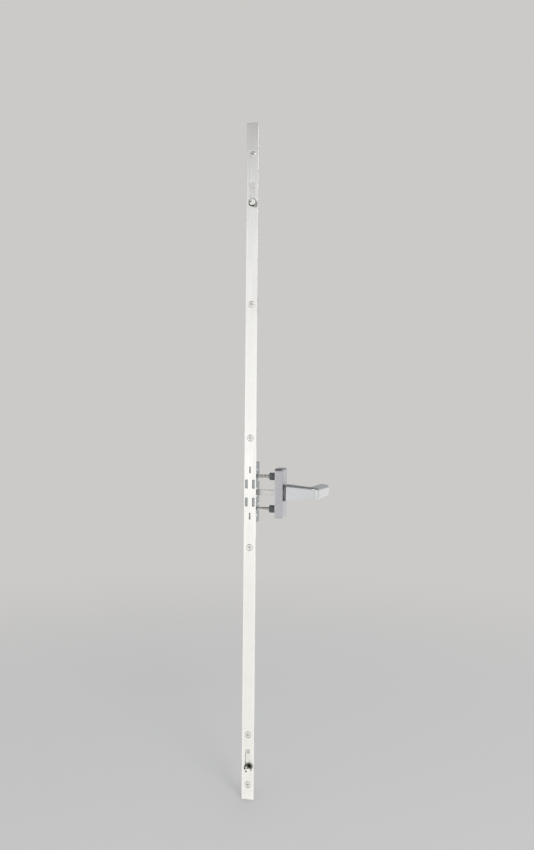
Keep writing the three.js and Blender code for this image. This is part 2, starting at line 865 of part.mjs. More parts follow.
function leverBody() {
  const flat = (x, y) => new THREE.Vector3(x, y, 0);
  const innerReachAtBend = leverReachAtBend - gripThickAtBend;
  const innerReachAtTip = leverReachAtTip - gripThickAtTip;
  const outerArc = flat(leverReachAtBend - bendOuterRadius, -legDepthAtBend / 2 + bendOuterRadius);
  const innerArc = flat(innerReachAtBend - bendInnerRadius, legDepthAtBend / 2 + bendInnerRadius);
  const legLength = outerArc.x - leverStart;
  const innerLegLength = innerArc.x - leverStart;
  const mix = THREE.MathUtils.lerp;
  const stations = [];

  const leg = (share, rounding) => {
    const inner = flat(
      leverStart + share * innerLegLength, mix(legDepthAtRose, legDepthAtBend, share) / 2);
    const outer = flat(leverStart + share * legLength, -mix(legDepthAtRose, legDepthAtBend, share) / 2);
    return leverStation(inner, outer, mix(legHeightAtRose, legHeightAtBend, share), legEdge, 0, rounding);
  };
  for (let i = 0; i < edgeSteps; i += 1) {
    const distance = leverBackEdge * (1 - Math.cos((i / edgeSteps) * Math.PI / 2));
    stations.push(leg(distance / legLength, drawnIn(leverBackEdge, distance)));
  }
  stations.push(leg(leverBackEdge / legLength, 0));
  for (let i = 1; i <= legSteps; i += 1) {
    stations.push(leg(i / legSteps, 0));
  }

  for (let i = 1; i <= bendSteps; i += 1) {
    const angle = (i / bendSteps) * Math.PI / 2;
    const spoke = flat(Math.sin(angle), -Math.cos(angle));
    const inner = innerArc.clone().addScaledVector(spoke, bendInnerRadius);
    const outer = outerArc.clone().addScaledVector(spoke, bendOuterRadius);
    const height = mix(legHeightAtBend, gripHeightAtBend, i / bendSteps);
    stations.push(leverStation(inner, outer, height, mix(legEdge, gripEdge, i / bendSteps), 0, 0));
  }

  const grip = (share, rounding) => {
    const inner = flat(mix(innerReachAtBend, innerReachAtTip, share), mix(innerArc.y, leverLength, share));
    const outer = flat(mix(leverReachAtBend, leverReachAtTip, share), mix(outerArc.y, leverLength, share));
    const height = mix(gripHeightAtBend, gripHeightAtTip, share);
    return leverStation(inner, outer, height, gripEdge, share * gripFlare, rounding);
  };
  const gripLength = leverLength - outerArc.y;
  const straightShare = 1 - leverTipEdge / gripLength;
  for (let i = 1; i <= gripSteps; i += 1) {
    stations.push(grip(straightShare * i / gripSteps, 0));
  }
  for (let i = 1; i <= edgeSteps; i += 1) {
    const distance = leverTipEdge * (1 - Math.sin((i / edgeSteps) * Math.PI / 2));
    stations.push(grip(1 - distance / gripLength, drawnIn(leverTipEdge, distance)));
  }
  return loft(stations);
}

function lever() {
  const groove = neckRadius - grooveDepth;
  const grooveEnd = grooveStart + circlipThick + runGap;
  const neck = turnedX([
    [0, neckStart],
    [neckRadius, neckStart],
    [neckRadius, grooveStart],
    [groove, grooveStart],
    [groove, grooveEnd],
    [neckRadius, grooveEnd],
    [neckRadius, leverStart + overrun],
    [0, leverStart + overrun],
  ]);
  const side = squareHole / 2;
  const socket = block(neckStart - overrun, spindleEnd + runGap, -side, side, -side, side);
  const x = leverStart + grubOffset;
  const grubHole = barY(0, legDepthAtRose, x, 0, grubRadius + runGap, grubRadius + runGap, smallSides);
  return piece('lever', cut(join([leverBody(), neck]), [socket, grubHole]), satinSilver);
}

// Grub screw: it clamps the spindle from the side that faces down when the window is shut
function grubScrew() {
  const start = spindleWidth / 2 + runGap;
  const end = start + grubLength;
  const body = barY(start, end, 0, 0, grubRadius, grubRadius, smallSides);
  const socket = barY(end - grubSocketDepth, end + overrun, 0, 0, grubSocketRadius, grubSocketRadius, 6);
  const mesh = piece('grub_screw', cut(body, [socket]), hardSteel);
  mesh.position.x = leverStart + grubOffset;
  return mesh;
}

const gear = new THREE.Group();
gear.add(faceplate());
for (const [name, height] of Object.entries(screwHeights)) {
  gear.add(faceScrew(name, height));
}
for (const [name, height] of passingScrews()) {
  gear.add(rodGuide(name, height));
}
gear.add(caseHalf('case_half_room', 1), caseHalf('case_half_outside', -1));
gear.add(spacer('spacer_upper', 1), spacer('spacer_lower', -1));
for (const [end, place] of [[1, 'upper'], [-1, 'lower']]) {
  const [outerPlace, innerPlace] = rivetPlaces(end);
  gear.add(caseRivet(`case_rivet_${place}_end`, ...outerPlace));
  gear.add(caseRivet(`case_rivet_${place}_back`, ...innerPlace));
  gear.add(roseBolt(`rose_bolt_${place}`, end));
}
gear.add(roseBase(), roseCover(), neckBush(), waveWasher());

// What the rod carries: it rests a little above its open stop because the lever droops a little
const rod = new THREE.Group();
rod.position.z = restLift;
rod.add(driveRod());
rod.add(cam('upper', upperCamHeight), cam('lower', lowerCamHeight));
gear.add(rod);

// What turns with the handle, about the spindle's axis
const handle = new THREE.Group();
handle.position.y = backset;
handle.rotation.x = -THREE.MathUtils.degToRad(restDroop);
handle.add(follower(), spindle(), circlip(), lever(), grubScrew());
gear.add(handle);

export default gear;
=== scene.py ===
"""Operating gear of an inward-opening timber window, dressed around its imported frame: the faceplate with
its screws and keyholes, the drive rod with its cams, the gear case, and the lever handle on its rose.
Metres, in the frame's own axes: +Z up, -Y out of the sash edge, +X to the room."""

import math

import bpy
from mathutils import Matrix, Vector


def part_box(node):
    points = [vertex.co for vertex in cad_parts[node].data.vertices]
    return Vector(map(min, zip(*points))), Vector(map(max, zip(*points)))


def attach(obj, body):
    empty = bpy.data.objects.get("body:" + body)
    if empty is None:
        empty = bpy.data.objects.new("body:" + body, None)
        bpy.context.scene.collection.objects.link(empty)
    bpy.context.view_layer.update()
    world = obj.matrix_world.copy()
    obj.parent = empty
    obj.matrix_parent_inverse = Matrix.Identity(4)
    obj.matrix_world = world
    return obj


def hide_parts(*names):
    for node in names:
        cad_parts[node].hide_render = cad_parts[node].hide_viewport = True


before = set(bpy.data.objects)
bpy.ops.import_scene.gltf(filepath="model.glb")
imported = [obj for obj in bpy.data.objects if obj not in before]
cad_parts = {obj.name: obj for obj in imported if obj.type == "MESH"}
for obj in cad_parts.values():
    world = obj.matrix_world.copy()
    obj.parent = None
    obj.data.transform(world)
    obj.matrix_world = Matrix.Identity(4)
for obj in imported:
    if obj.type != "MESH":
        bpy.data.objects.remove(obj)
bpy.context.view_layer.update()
mm = 0.001


# Studio: a pale floor that fades into a plain pale background, with the part on the lower end of its
# faceplate. Soft boxes stand in front, at the room side and behind, a smaller key lamp above to the
# front, and the camera where the photograph was taken from.
def node(tree, kind, values=(), **settings):
    """Adds a shader node with its settings and the values of its inputs."""
    made = tree.nodes.new(f"ShaderNode{kind}")
    for name, value in settings.items():
        setattr(made, name, value)
    for name, value in dict(values).items():
        made.inputs[name].default_value = value
    return made


def wire(tree, *links):
    """Makes links, each given as a node, its output, another node and its input."""
    for start, output, end, entry in links:
        tree.links.new(start.outputs[output], end.inputs[entry])


colour_a, colour_b, colour_result = 6, 7, 2
value_a, value_b, value_result = 2, 3, 0

backdrop = (0.6, 0.59, 0.575, 1)
floor_tone = (0.8, 0.79, 0.77, 1)
floor_bounce = (1.05, 1.04, 1.01, 1)
floor_roughness = 0.9
floor_specular = 0.1
floor_size = 40
fade_from, fade_to = 0.25, 1.7
bpy.ops.object.select_all(action="DESELECT")
bpy.ops.mesh.primitive_plane_add(size=floor_size, location=(0, 0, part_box("faceplate")[0].z))
floor = bpy.context.object
floor.name = "studio_floor"
pale = bpy.data.materials.new("pale floor")
pale.use_nodes = True
paint = pale.node_tree
matt = paint.nodes["Principled BSDF"]
matt.inputs["Base Color"].default_value = floor_tone
matt.inputs["Roughness"].default_value = floor_roughness
matt.inputs["Specular IOR Level"].default_value = floor_specular
place = node(paint, "TexCoord")
distance = node(paint, "VectorMath", operation="LENGTH")
fade = {"From Min": fade_from, "From Max": fade_to}
far = node(paint, "MapRange", fade, interpolation_type="SMOOTHSTEP")
haze = node(paint, "Emission", {"Color": backdrop})
blend = node(paint, "MixShader")
bounce = node(paint, "Emission", {"Color": floor_bounce})
ray = node(paint, "LightPath")
shown = node(paint, "MixShader")
wire(
    paint,
    (place, "Object", distance, 0),
    (distance, "Value", far, "Value"),
    (far, 0, blend, 0),
    (matt, 0, blend, 1),
    (haze, 0, blend, 2),
    (ray, "Is Glossy Ray", shown, 0),
    (blend, 0, shown, 1),
    (bounce, 0, shown, 2),
    (shown, 0, paint.nodes["Material Output"], "Surface"),
)
floor.data.materials.append(pale)

room_light = (0.94, 0.96, 1, 1)
room_strength = 0.62
horizon_shine = (0.8, 0.8, 0.8, 1)
ceiling_shine = (0.15, 0.15, 0.155, 1)
rear_shine = (0.38, 0.38, 0.385, 1)
ceiling_from, ceiling_to = 0.23, 0.45
rear_from, rear_to = -0.1, 0.6
world = bpy.data.worlds.new("studio")
world.use_nodes = True
bpy.context.scene.world = world
sky = world.node_tree
sky.nodes.clear()
seen = node(sky, "Background", {"Color": backdrop})
lit = node(sky, "Background", {"Color": room_light, "Strength": room_strength})
direction = node(sky, "TexCoord")
upwards = node(sky, "SeparateXYZ")
height = node(sky, "MapRange", {"From Min": ceiling_from, "From Max": ceiling_to})
shade = node(sky, "Mix", {colour_a: horizon_shine, colour_b: ceiling_shine}, data_type="RGBA")
behind = node(sky, "MapRange", {"From Min": rear_from, "From Max": rear_to})
deepened = node(sky, "Mix", {colour_b: rear_shine}, data_type="RGBA")
mirrored = node(sky, "Background")
path = node(sky, "LightPath")
glossy = node(sky, "Math", operation="MAXIMUM")
first = node(sky, "MixShader")
choice = node(sky, "MixShader")
output = node(sky, "OutputWorld")
wire(
    sky,
    (direction, "Generated", upwards, 0),
    (upwards, "Z", height, "Value"),
    (height, 0, shade, "Factor"),
    (upwards, "Y", behind, "Value"),
    (behind, 0, deepened, "Factor"),
    (shade, colour_result, deepened, colour_a),
    (deepened, colour_result, mirrored, "Color"),
    (path, "Is Glossy Ray", glossy, 0),
    (path, "Is Transmission Ray", glossy, 1),
    (glossy, 0, first, 0),
    (lit, 0, first, 1),
    (mirrored, 0, first, 2),
    (path, "Is Camera Ray", choice, 0),
    (first, 0, choice, 1),
    (seen, 0, choice, 2),
    (choice, 0, output, "Surface"),
)


def soft_box(name, place, target, width, height, power, colour):
    """A lamp with a flat rectangular face, turned towards its target and not seen by the camera."""
    lamp = bpy.data.lights.new(name, "AREA")
    lamp.shape = "RECTANGLE"
    lamp.size = width
    lamp.size_y = height
    lamp.energy = power
    lamp.color = colour
    stand = bpy.data.objects.new(name, lamp)
    stand.location = place
    stand.rotation_euler = (Vector(target) - Vector(place)).to_track_quat("-Z", "Y").to_euler()
    stand.visible_camera = False
    bpy.context.scene.collection.objects.link(stand)


for lamp in (
    ("front_box", (-0.5, -2.4, 0.45), (-0.5, 0, 0.45), 2.6, 1.7, 3.9, (1, 0.995, 0.985)),
    ("room_box", (2.2, -0.3, 0.25), (0, -0.3, 0.25), 1.8, 1.3, 3.2, (1, 0.99, 0.97)),
    ("rear_box", (0.6, 2.3, 0.35), (0.6, 0, 0.35), 2.4, 1.5, 1.6, (0.98, 0.99, 1)),
    ("key", (1.3, -1.7, 1.4), (0.02, 0, 0), 0.8, 0.8, 11, (1, 0.98, 0.95)),
):
    soft_box(*lamp)

sensor = 36
focal_pixels, photo_height = 803.06, 850
camera_place = (0.24107, -1.02363, 0.09683)
camera_turn = (89.59376, -0.48702, 12.07699)
camera = bpy.data.objects.new("camera", bpy.data.cameras.new("camera"))
camera.data.sensor_fit = "VERTICAL"
camera.data.sensor_height = sensor
camera.data.lens = focal_pixels / photo_height * sensor
camera.location = camera_place
camera.rotation_euler = [math.radians(angle) for angle in camera_turn]
bpy.context.scene.collection.objects.link(camera)
bpy.context.scene.camera = camera
bpy.context.scene.view_settings.view_transform = "Standard"


# Faceplate: a strip of 2 mm steel with bright zinc plating, sheared to length, its openings punched and
# its six screw holes countersunk. It is let into the sash edge and carries everything else.
def group(name, inputs, outputs):
    """An empty node group with its sockets."""
    tree = bpy.data.node_groups.new(name, "ShaderNodeTree")
    for label, kind, value in inputs:
        socket = tree.interface.new_socket(label, in_out="INPUT", socket_type=f"NodeSocket{kind}")
        socket.default_value = value
    for label, kind in outputs:
        tree.interface.new_socket(label, in_out="OUTPUT", socket_type=f"NodeSocket{kind}")
    return tree, tree.nodes.new("NodeGroupInput"), tree.nodes.new("NodeGroupOutput")


def stain_group():
    """Two tones, mixed in soft patches."""
    tree, given, result = group(
        "plating stain",
        [
            ("Position", "Vector", (0, 0, 0)),
            ("Tone", "Color", (0.8, 0.8, 0.8, 1)),
            ("Stain", "Color", (0.6, 0.6, 0.6, 1)),
            ("Patch scale", "Float", 60),
            ("Amount", "Float", 0.5),
        ],
        [("Color", "Color")],
    )
    patches = node(tree, "TexNoise", {"Detail": 6, "Roughness": 0.62})
    spread = node(tree, "MapRange", {"From Min": 0.36, "From Max": 0.68})
    amount = node(tree, "Math", operation="MULTIPLY")
    blended = node(tree, "Mix", data_type="RGBA")
    wire(
        tree,
        (given, "Position", patches, "Vector"),
        (given, "Patch scale", patches, "Scale"),
        (patches, "Fac", spread, "Value"),
        (spread, 0, amount, 0),
        (given, "Amount", amount, 1),
        (amount, 0, blended, "Factor"),
        (given, "Tone", blended, colour_a),
        (given, "Stain", blended, colour_b),
        (blended, colour_result, result, "Color"),
    )
    return tree


def grain_group():
    """Fine grain, stretched along one direction where a sheet was rolled or a surface brushed."""
    tree, given, result = group(
        "surface grain",
        [("Position", "Vector", (0, 0, 0)), ("Stretch", "Vector", (1, 1, 1)), ("Scale", "Float", 1500)],
        [("Height", "Float"), ("Streaks", "Float")],
    )
    stretched = node(tree, "VectorMath", operation="MULTIPLY")
    fine = node(tree, "TexNoise", {"Detail": 4, "Roughness": 0.6})
    coarse_share = 0.13
    coarse_scale = node(tree, "Math", {1: coarse_share}, operation="MULTIPLY")
    coarse = node(tree, "TexNoise", {"Detail": 3})
    both = node(tree, "Mix", {"Factor": 0.35}, data_type="FLOAT")
    wire(
        tree,
        (given, "Position", stretched, 0),
        (given, "Stretch", stretched, 1),
        (given, "Scale", fine, "Scale"),
        (given, "Scale", coarse_scale, 0),
        (coarse_scale, 0, coarse, "Scale"),
        (stretched, 0, fine, "Vector"),
        (stretched, 0, coarse, "Vector"),
        (fine, "Fac", both, value_a),
        (coarse, "Fac", both, value_b),
        (both, value_result, result, "Height"),
        (coarse, "Fac", result, "Streaks"),
    )
    return tree


def wear_highlight_shade_group():
    """Outer edges abraded and brightened, partly a painted highlight, broken up by noise; and painted
    shade with soiling where surfaces meet.
    """
    tree, given, result = group(
        "edge wear",
        [("Position", "Vector", (0, 0, 0)), ("Wear_and_highlight", "Float", 0.5), ("Shade_and_grime", "Float", 0.5)],
        [("Worn_and_highlit", "Float"), ("Shaded_and_grimy", "Float")],
    )
    shape = node(tree, "NewGeometry")
    edge = node(tree, "MapRange", {"From Min": 0.515, "From Max": 0.6})
    patches = node(tree, "TexNoise", {"Scale": 420, "Detail": 4})
    broken = node(tree, "MapRange", {"From Min": 0.4, "From Max": 0.62})
    rubbed_and_highlit = node(tree, "Math", operation="MULTIPLY")
    worn_and_highlit = node(tree, "Math", operation="MULTIPLY")
    # Painted shade: ambient occlusion gives the mask that darkens the colour where surfaces meet, and
    # roughens it as soiling.
    corner = node(tree, "AmbientOcclusion", {"Distance": 1.6 * mm}, samples=6)
    shut = node(tree, "MapRange", {"From Min": 0.75, "From Max": 0.15})
    shade_grime_mask = node(tree, "Math", operation="MULTIPLY")
    wire(
        tree,
        (shape, "Pointiness", edge, "Value"),
        (given, "Position", patches, "Vector"),
        (patches, "Fac", broken, "Value"),
        (edge, 0, rubbed_and_highlit, 0),
        (broken, 0, rubbed_and_highlit, 1),
        (rubbed_and_highlit, 0, worn_and_highlit, 0),
        (given, "Wear_and_highlight", worn_and_highlit, 1),
        (corner, "AO", shut, "Value"),
        (shut, 0, shade_grime_mask, 0),
        (given, "Shade_and_grime", shade_grime_mask, 1),
        (worn_and_highlit, 0, result, "Worn_and_highlit"),
        (shade_grime_mask, 0, result, "Shaded_and_grimy"),
    )
    return tree


stains, grains, wear_highlight_shades = stain_group(), grain_group(), wear_highlight_shade_group()
grimy_roughness = 0.85


def surface(
    name,
    tone,
    stain,
    metallic=1.0,
    smooth=0.25,
    rough=0.4,
    patch_scale=60,
    stained=0.5,
    grain=1500,
    stretch=(1, 1, 1),
    depth=0.01 * mm,
    bare_and_highlight=(0.9, 0.9, 0.9),
    wear_and_highlight=0.5,
    shade_and_grime=0.5,
    shade_and_grime_tone=(0.09, 0.085, 0.075),
    specular=0.5,
):
    """A metal or moulded surface: tone and stain in patches, grain, abraded edges that partly paint a
    highlight, and painted shade with soiling in corners.
    """
    material = bpy.data.materials.new(name)
    material.use_nodes = True
    tree = material.node_tree
    shader = tree.nodes["Principled BSDF"]
    shader.inputs["Metallic"].default_value = metallic
    shader.inputs["Specular IOR Level"].default_value = specular
    place = node(tree, "TexCoord")
    tones = {"Tone": (*tone, 1), "Stain": (*stain, 1), "Patch scale": patch_scale, "Amount": stained}
    patches = node(tree, "Group", tones, node_tree=stains)
    lines = node(tree, "Group", {"Stretch": stretch, "Scale": grain}, node_tree=grains)
    edges = node(tree, "Group", {"Wear_and_highlight": wear_and_highlight, "Shade_and_grime": shade_and_grime}, node_tree=wear_highlight_shades)
    # Lighter edges, partly a painted highlight, then darker corners, painted shade with soiling.
    worn_and_highlit = node(tree, "Mix", {colour_b: (*bare_and_highlight, 1)}, data_type="RGBA")
    shade_grime_mix = node(tree, "Mix", {colour_b: (*shade_and_grime_tone, 1)}, data_type="RGBA")
    gloss = node(tree, "MapRange", {"From Min": 0.3, "From Max": 0.7, "To Min": smooth, "To Max": rough})
    dulled = node(tree, "Mix", {value_b: grimy_roughness}, data_type="FLOAT")
    relief = node(tree, "Bump", {"Distance": depth})
    wire(
        tree,
        (place, "Object", patches, "Position"),
        (place, "Object", lines, "Position"),
        (place, "Object", edges, "Position"),
        (edges, "Worn_and_highlit", worn_and_highlit, "Factor"),
        (patches, "Color", worn_and_highlit, colour_a),
        (worn_and_highlit, colour_result, shade_grime_mix, colour_a),
        (edges, "Shaded_and_grimy", shade_grime_mix, "Factor"),
        (shade_grime_mix, colour_result, shader, "Base Color"),
        (lines, "Streaks", gloss, "Value"),
        (gloss, 0, dulled, value_a),
        (edges, "Shaded_and_grimy", dulled, "Factor"),
        (dulled, value_result, shader, "Roughness"),
        (lines, "Height", relief, "Height"),
        (relief, 0, shader, "Normal"),
    )
    return material


def only(piece):
    """Leaves nothing selected but this piece."""
    bpy.ops.object.select_all(action="DESELECT")
    piece.select_set(True)
    bpy.context.view_layer.objects.active = piece


def open_mesh(piece, action="SELECT"):
    """Opens a piece for editing with all of it selected, or with none of it."""
    only(piece)
    bpy.ops.object.mode_set(mode="EDIT")
    bpy.ops.mesh.select_all(action=action)


def close_mesh():
    """Ends the editing."""
    bpy.ops.object.mode_set(mode="OBJECT")


def settle(piece, name):
    """Puts a new piece's place, turn and size into its mesh."""
    piece.name = name
    only(piece)
    bpy.ops.object.transform_apply(location=True, rotation=True, scale=True)
    return piece


def block(name, low, high):
    """A box between two corners."""
    bpy.ops.object.select_all(action="DESELECT")
    bpy.ops.mesh.primitive_cube_add(size=1, location=[(a + b) / 2 for a, b in zip(low, high)])
    piece = bpy.context.object
    piece.scale = [b - a for a, b in zip(low, high)]
    return settle(piece, name)


def turned(name, axis, middle, rings, sides=64):
    """A round piece drawn out ring by ring along X or Y: each ring is its place on the axis and radius."""
    aim = Vector((1, 0, 0)) if axis == "X" else Vector((0, 1, 0))
    turn = (0, math.pi / 2, 0) if axis == "X" else (-math.pi / 2, 0, 0)
    start, radius = rings[0]
    middle = Vector(middle)
    bpy.ops.object.select_all(action="DESELECT")
    bpy.ops.mesh.primitive_circle_add(
        vertices=sides, radius=radius, fill_type="NGON", location=middle + aim * start, rotation=turn
    )
    piece = settle(bpy.context.object, name)
    open_mesh(piece)
    for place, wide in rings[1:]:
        bpy.ops.mesh.extrude_region_move(TRANSFORM_OT_translate={"value": aim * (place - start)})
        if wide != radius:
            share = wide / radius
            bpy.ops.transform.resize(value=(share, share, share), center_override=middle + aim * place)
        start, radius = place, wide
    bpy.ops.mesh.select_all(action="SELECT")
    bpy.ops.mesh.normals_make_consistent(inside=False)
    close_mesh()
    return piece


def apply(piece, modifier):
    """Makes a modifier's result the piece's own mesh."""
    only(piece)
    bpy.ops.object.modifier_apply(modifier=modifier.name)


def shape_with(piece, tool, operation):
    """Cuts a tool out of a piece or joins it to the piece, and clears the tool away."""
    made = piece.modifiers.new(operation.lower(), "BOOLEAN")
    made.operation = operation
    made.solver = "EXACT"
    made.object = tool
    apply(piece, made)
    bpy.data.objects.remove(tool)


def cut(piece, tool):
    shape_with(piece, tool, "DIFFERENCE")


def join(piece, other):
    shape_with(piece, other, "UNION")


def bore(piece, axis, middle, start, end, radius, sides):
    """Cuts a hole of one radius along X or Y, round or with a few flat sides."""
    cut(piece, turned("drill", axis, middle, [(start, radius), (end, radius)], sides))


def punch(piece, wide, deep, high, corner, segments):
    """Punches an opening with round corners, between two places on X, two on Y and two on Z."""
    near, far = zip(*(sorted(pair) for pair in (wide, deep, high)))
    cut(piece, round_edges(block("punch", near, far), "Y", corner, segments))


def soften(piece, width, segments=3, angle=40):
    """Rounds every edge that turns by more than the angle."""
    made = piece.modifiers.new("soft edges", "BEVEL")
    made.width = width
    made.segments = segments
    made.limit_method = "ANGLE"
    made.angle_limit = math.radians(angle)
    made.miter_outer = "MITER_ARC"
    apply(piece, made)


def round_edges(piece, axis, width, segments, test=None):
    """Rounds the edges that run along one axis, or those of them that a test picks."""
    open_mesh(piece, "DESELECT")
    close_mesh()
    points = piece.data.vertices
    for edge in piece.data.edges:
        a, b = (points[i].co for i in edge.vertices)
        along = (b - a).normalized()
        edge.select = abs(along["XYZ".index(axis)]) > 0.99 and (test is None or test((a + b) / 2))
    bpy.ops.object.mode_set(mode="EDIT")
    bpy.ops.mesh.select_mode(type="EDGE")
    bpy.ops.mesh.bevel(offset=width, segments=segments, affect="EDGES", clamp_overlap=True)
    close_mesh()
    return piece


def split(piece, axis, places):
    """Draws seams across a piece, so that no flat face has to go round an opening."""
    only(piece)
    bpy.ops.object.mode_set(mode="EDIT")
    aim = [float(letter == axis) for letter in "XYZ"]
    for place in places:
        bpy.ops.mesh.select_all(action="SELECT")
        bpy.ops.mesh.bisect(plane_co=[place * part for part in aim], plane_no=aim)
    close_mesh()


def trim(piece, place, outwards):
    """Cuts off what lies beyond a plane and closes the cut."""
    open_mesh(piece)
    bpy.ops.mesh.bisect(plane_co=place, plane_no=outwards, use_fill=True, clear_outer=True)
    close_mesh()


def seams_beside_edges(piece, margin):
    """Splits a box-like piece's flat faces a little way in from its edges, so that the lighter edge tone,
    partly a painted highlight, stays on the edges.
    """
    corners = [Vector(corner) for corner in piece.bound_box]
    for i, axis in enumerate("XYZ"):
        places = [corner[i] for corner in corners]
        split(piece, axis, (min(places) + margin, max(places) - margin))


def finish(piece, material, smooth=35):
    """Closes the seams, turns every face outwards, shades the rounds smooth and gives the material."""
    open_mesh(piece)
    bpy.ops.mesh.remove_doubles(threshold=0.0005 * mm)
    bpy.ops.mesh.normals_make_consistent(inside=False)
    close_mesh()
    bpy.ops.object.shade_smooth_by_angle(angle=math.radians(smooth))
    flat = piece.modifiers.new("flat faces flat", "WEIGHTED_NORMAL")
    flat.keep_sharp = True
    apply(piece, flat)
    piece.data.materials.clear()
    piece.data.materials.append(material)
    return piece


bright_zinc = surface(
    "bright zinc",
    tone=(0.84, 0.835, 0.82),
    stain=(0.77, 0.765, 0.745),
    smooth=0.2,
    rough=0.32,
    patch_scale=35,
    stained=0.55,
    grain=2600,
    stretch=(1, 1, 0.03),
    depth=0.004 * mm,
    bare_and_highlight=(0.93, 0.93, 0.92),
    wear_and_highlight=0.8,
    shade_and_grime=0.65,
)

low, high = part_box("faceplate")
plate_back = high.y
overrun = 1 * mm
screw_heights = {
    "top": 443.6 * mm,
    "upper": 247.1 * mm,
    "above_gear": 72.2 * mm,
    "below_gear": -71.3 * mm,
    "lower": -317.5 * mm,
    "bottom": -383 * mm,
}
keyhole_slot = 7.2 * mm
keyhole_wide = 10.7 * mm
keyholes = {380.1 * mm: 408.2 * mm, -360.4 * mm: -336.2 * mm}
hole_rim = 4.5 * mm
hole_back = 2.7 * mm
window_across = (2.95 * mm, 6.45 * mm)
window_height = (6 * mm, 17.6 * mm)
slit_half = 1 * mm
slit_height = (26 * mm, 34.7 * mm)
nearly_round = 0.995
punch_corner = 0.5 * mm
sheared_edge = 0.22 * mm

plate = block("faceplate_strip", low, high)
round_edges(plate, "Y", punch_corner, 3)
window_middle = sum(window_across) / 2
split(plate, "X", (-window_middle, 0, window_middle))
through = (-overrun, plate_back + overrun)
half = keyhole_slot / 2
for wide_height, slot_top in keyholes.items():
    bore(plate, "Y", (0, 0, wide_height), *through, keyhole_wide / 2, sides=96)
    punch(plate, (-half, half), through, (wide_height - half, slot_top), nearly_round * half, 16)
for end in (-1, 1):
    heights = [end * height for height in slit_height]
    punch(plate, (-slit_half, slit_half), through, heights, punch_corner, 4)
    heights = [end * height for height in window_height]
    for side in (-1, 1):
        punch(plate, [side * place for place in window_across], through, heights, punch_corner, 4)
slope = (hole_rim - hole_back) / plate_back
for height in screw_heights.values():
    cone = [(through[0], hole_rim + slope * overrun), (through[1], hole_back - slope * overrun)]
    cut(plate, turned("countersink", "Y", (0, 0, height), cone))
soften(plate, sheared_edge, 2)
finish(plate, bright_zinc)
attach(plate, "gear")
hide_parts("faceplate")


# Faceplate screws: countersunk wood screws of zinc-plated steel with a cross recess, rolled threads and a
# gimlet point. Each head sits a hair below the face of the strip.
point_bulge = 0.7
recess_taper = 0.45


def thread(piece, axis, middle, start, end, outer, core, pitch, sharp=1, point=0):
    """Rolls a thread into a round shank: it fades in over one pitch and may shrink to a point."""
    along = "XYZ".index(axis)
    across = [i for i in range(3) if i != along]
    for vertex in piece.data.vertices:
        place = vertex.co[along]
        if not start < place < end:
            continue
        offset = Vector([vertex.co[i] - middle[i] for i in across])
        if offset.length < core / 2:
            continue
        phase = (place / pitch + math.atan2(offset.y, offset.x) / math.tau) % 1
        ridge = max(0, 1 - sharp * abs(2 * phase - 1))
        fade = min(1, (place - start) / pitch)
        radius = outer + (core + (outer - core) * ridge - outer) * fade
        if end - place < point:
            radius *= ((end - place) / point) ** point_bulge
        offset *= radius / offset.length
        for i, value in zip(across, offset):
            vertex.co[i] = middle[i] + value


def cross_recess(piece, axis, middle, face, inwards, reach, web, depth):
    """Presses a cross into a head: two tapering arms and a deeper centre."""
    along = "XYZ".index(axis)
    across = [i for i in range(3) if i != along]
    above, foot = face - inwards * overrun, face + inwards * depth
    for long_axis, short_axis in (across, across[::-1]):
        near, far = list(middle), list(middle)
        for i, size in ((long_axis, reach), (short_axis, web)):
            near[i] -= size / 2
            far[i] += size / 2
        near[along], far[along] = sorted((above, foot))
        arm = block("punch", near, far)
        for vertex in arm.data.vertices:
            if abs(vertex.co[along] - foot) < overrun / 10:
                from_middle = vertex.co[long_axis] - middle[long_axis]
                vertex.co[long_axis] = middle[long_axis] + recess_taper * from_middle
        cut(piece, arm)
    centre = [(above, web * 0.8), (face + inwards * depth * 1.1, web * 0.5)]
    cut(piece, turned("punch", axis, middle, centre, sides=16))


def copy_of(piece, name, shift):
    """A copy with its own mesh, moved."""
    twin = piece.copy()
    twin.data = piece.data.copy()
    bpy.context.scene.collection.objects.link(twin)
    twin.location = shift
    return settle(twin, name)


plated_steel = surface(
    "zinc-plated steel",
    tone=(0.78, 0.775, 0.75),
    stain=(0.66, 0.65, 0.615),
    smooth=0.2,
    rough=0.36,
    patch_scale=240,
    grain=3000,
    depth=0.006 * mm,
    bare_and_highlight=(0.92, 0.92, 0.9),
    wear_and_highlight=0.9,
    shade_and_grime=0.9,
)

head_radius = 4.2 * mm
head_depth = 2.3 * mm
head_sunk = 0.12 * mm
shank_radius = 2.1 * mm
screw_length = 35 * mm
thread_start = 8 * mm
wood_pitch = 1.9 * mm
thread_core = 1.45 * mm
point_length = 5 * mm
rings_a_pitch = 8
rings = [
    (head_sunk, head_radius - 1.1 * mm),
    (head_sunk + 0.1 * mm, head_radius - 0.7 * mm),
    (head_sunk + 0.28 * mm, head_radius - 0.3 * mm),
    (head_sunk + 0.55 * mm, head_radius),
    (head_sunk + 0.75 * mm, head_radius - 0.1 * mm),
    (head_depth, shank_radius + 0.15 * mm),
    (head_depth + 0.4 * mm, shank_radius),
]
thread_length = screw_length - thread_start
steps = round(thread_length / wood_pitch * rings_a_pitch)
rings += [(thread_start + thread_length * i / steps, shank_radius) for i in range(steps + 1)]
wood_screw = turned("wood_screw", "Y", (0, 0, 0), rings, sides=32)
screw_tip = screw_length + overrun / 10
thread(
    wood_screw,
    "Y",
    (0, 0, 0),
    thread_start,
    screw_tip,
    outer=shank_radius,
    core=thread_core,
    pitch=wood_pitch,
    sharp=1.7,
    point=point_length,
)
cross_recess(wood_screw, "Y", (0, 0, 0), head_sunk, 1, reach=4.9 * mm, web=1.4 * mm, depth=1 * mm)
finish(wood_screw, plated_steel, 50)
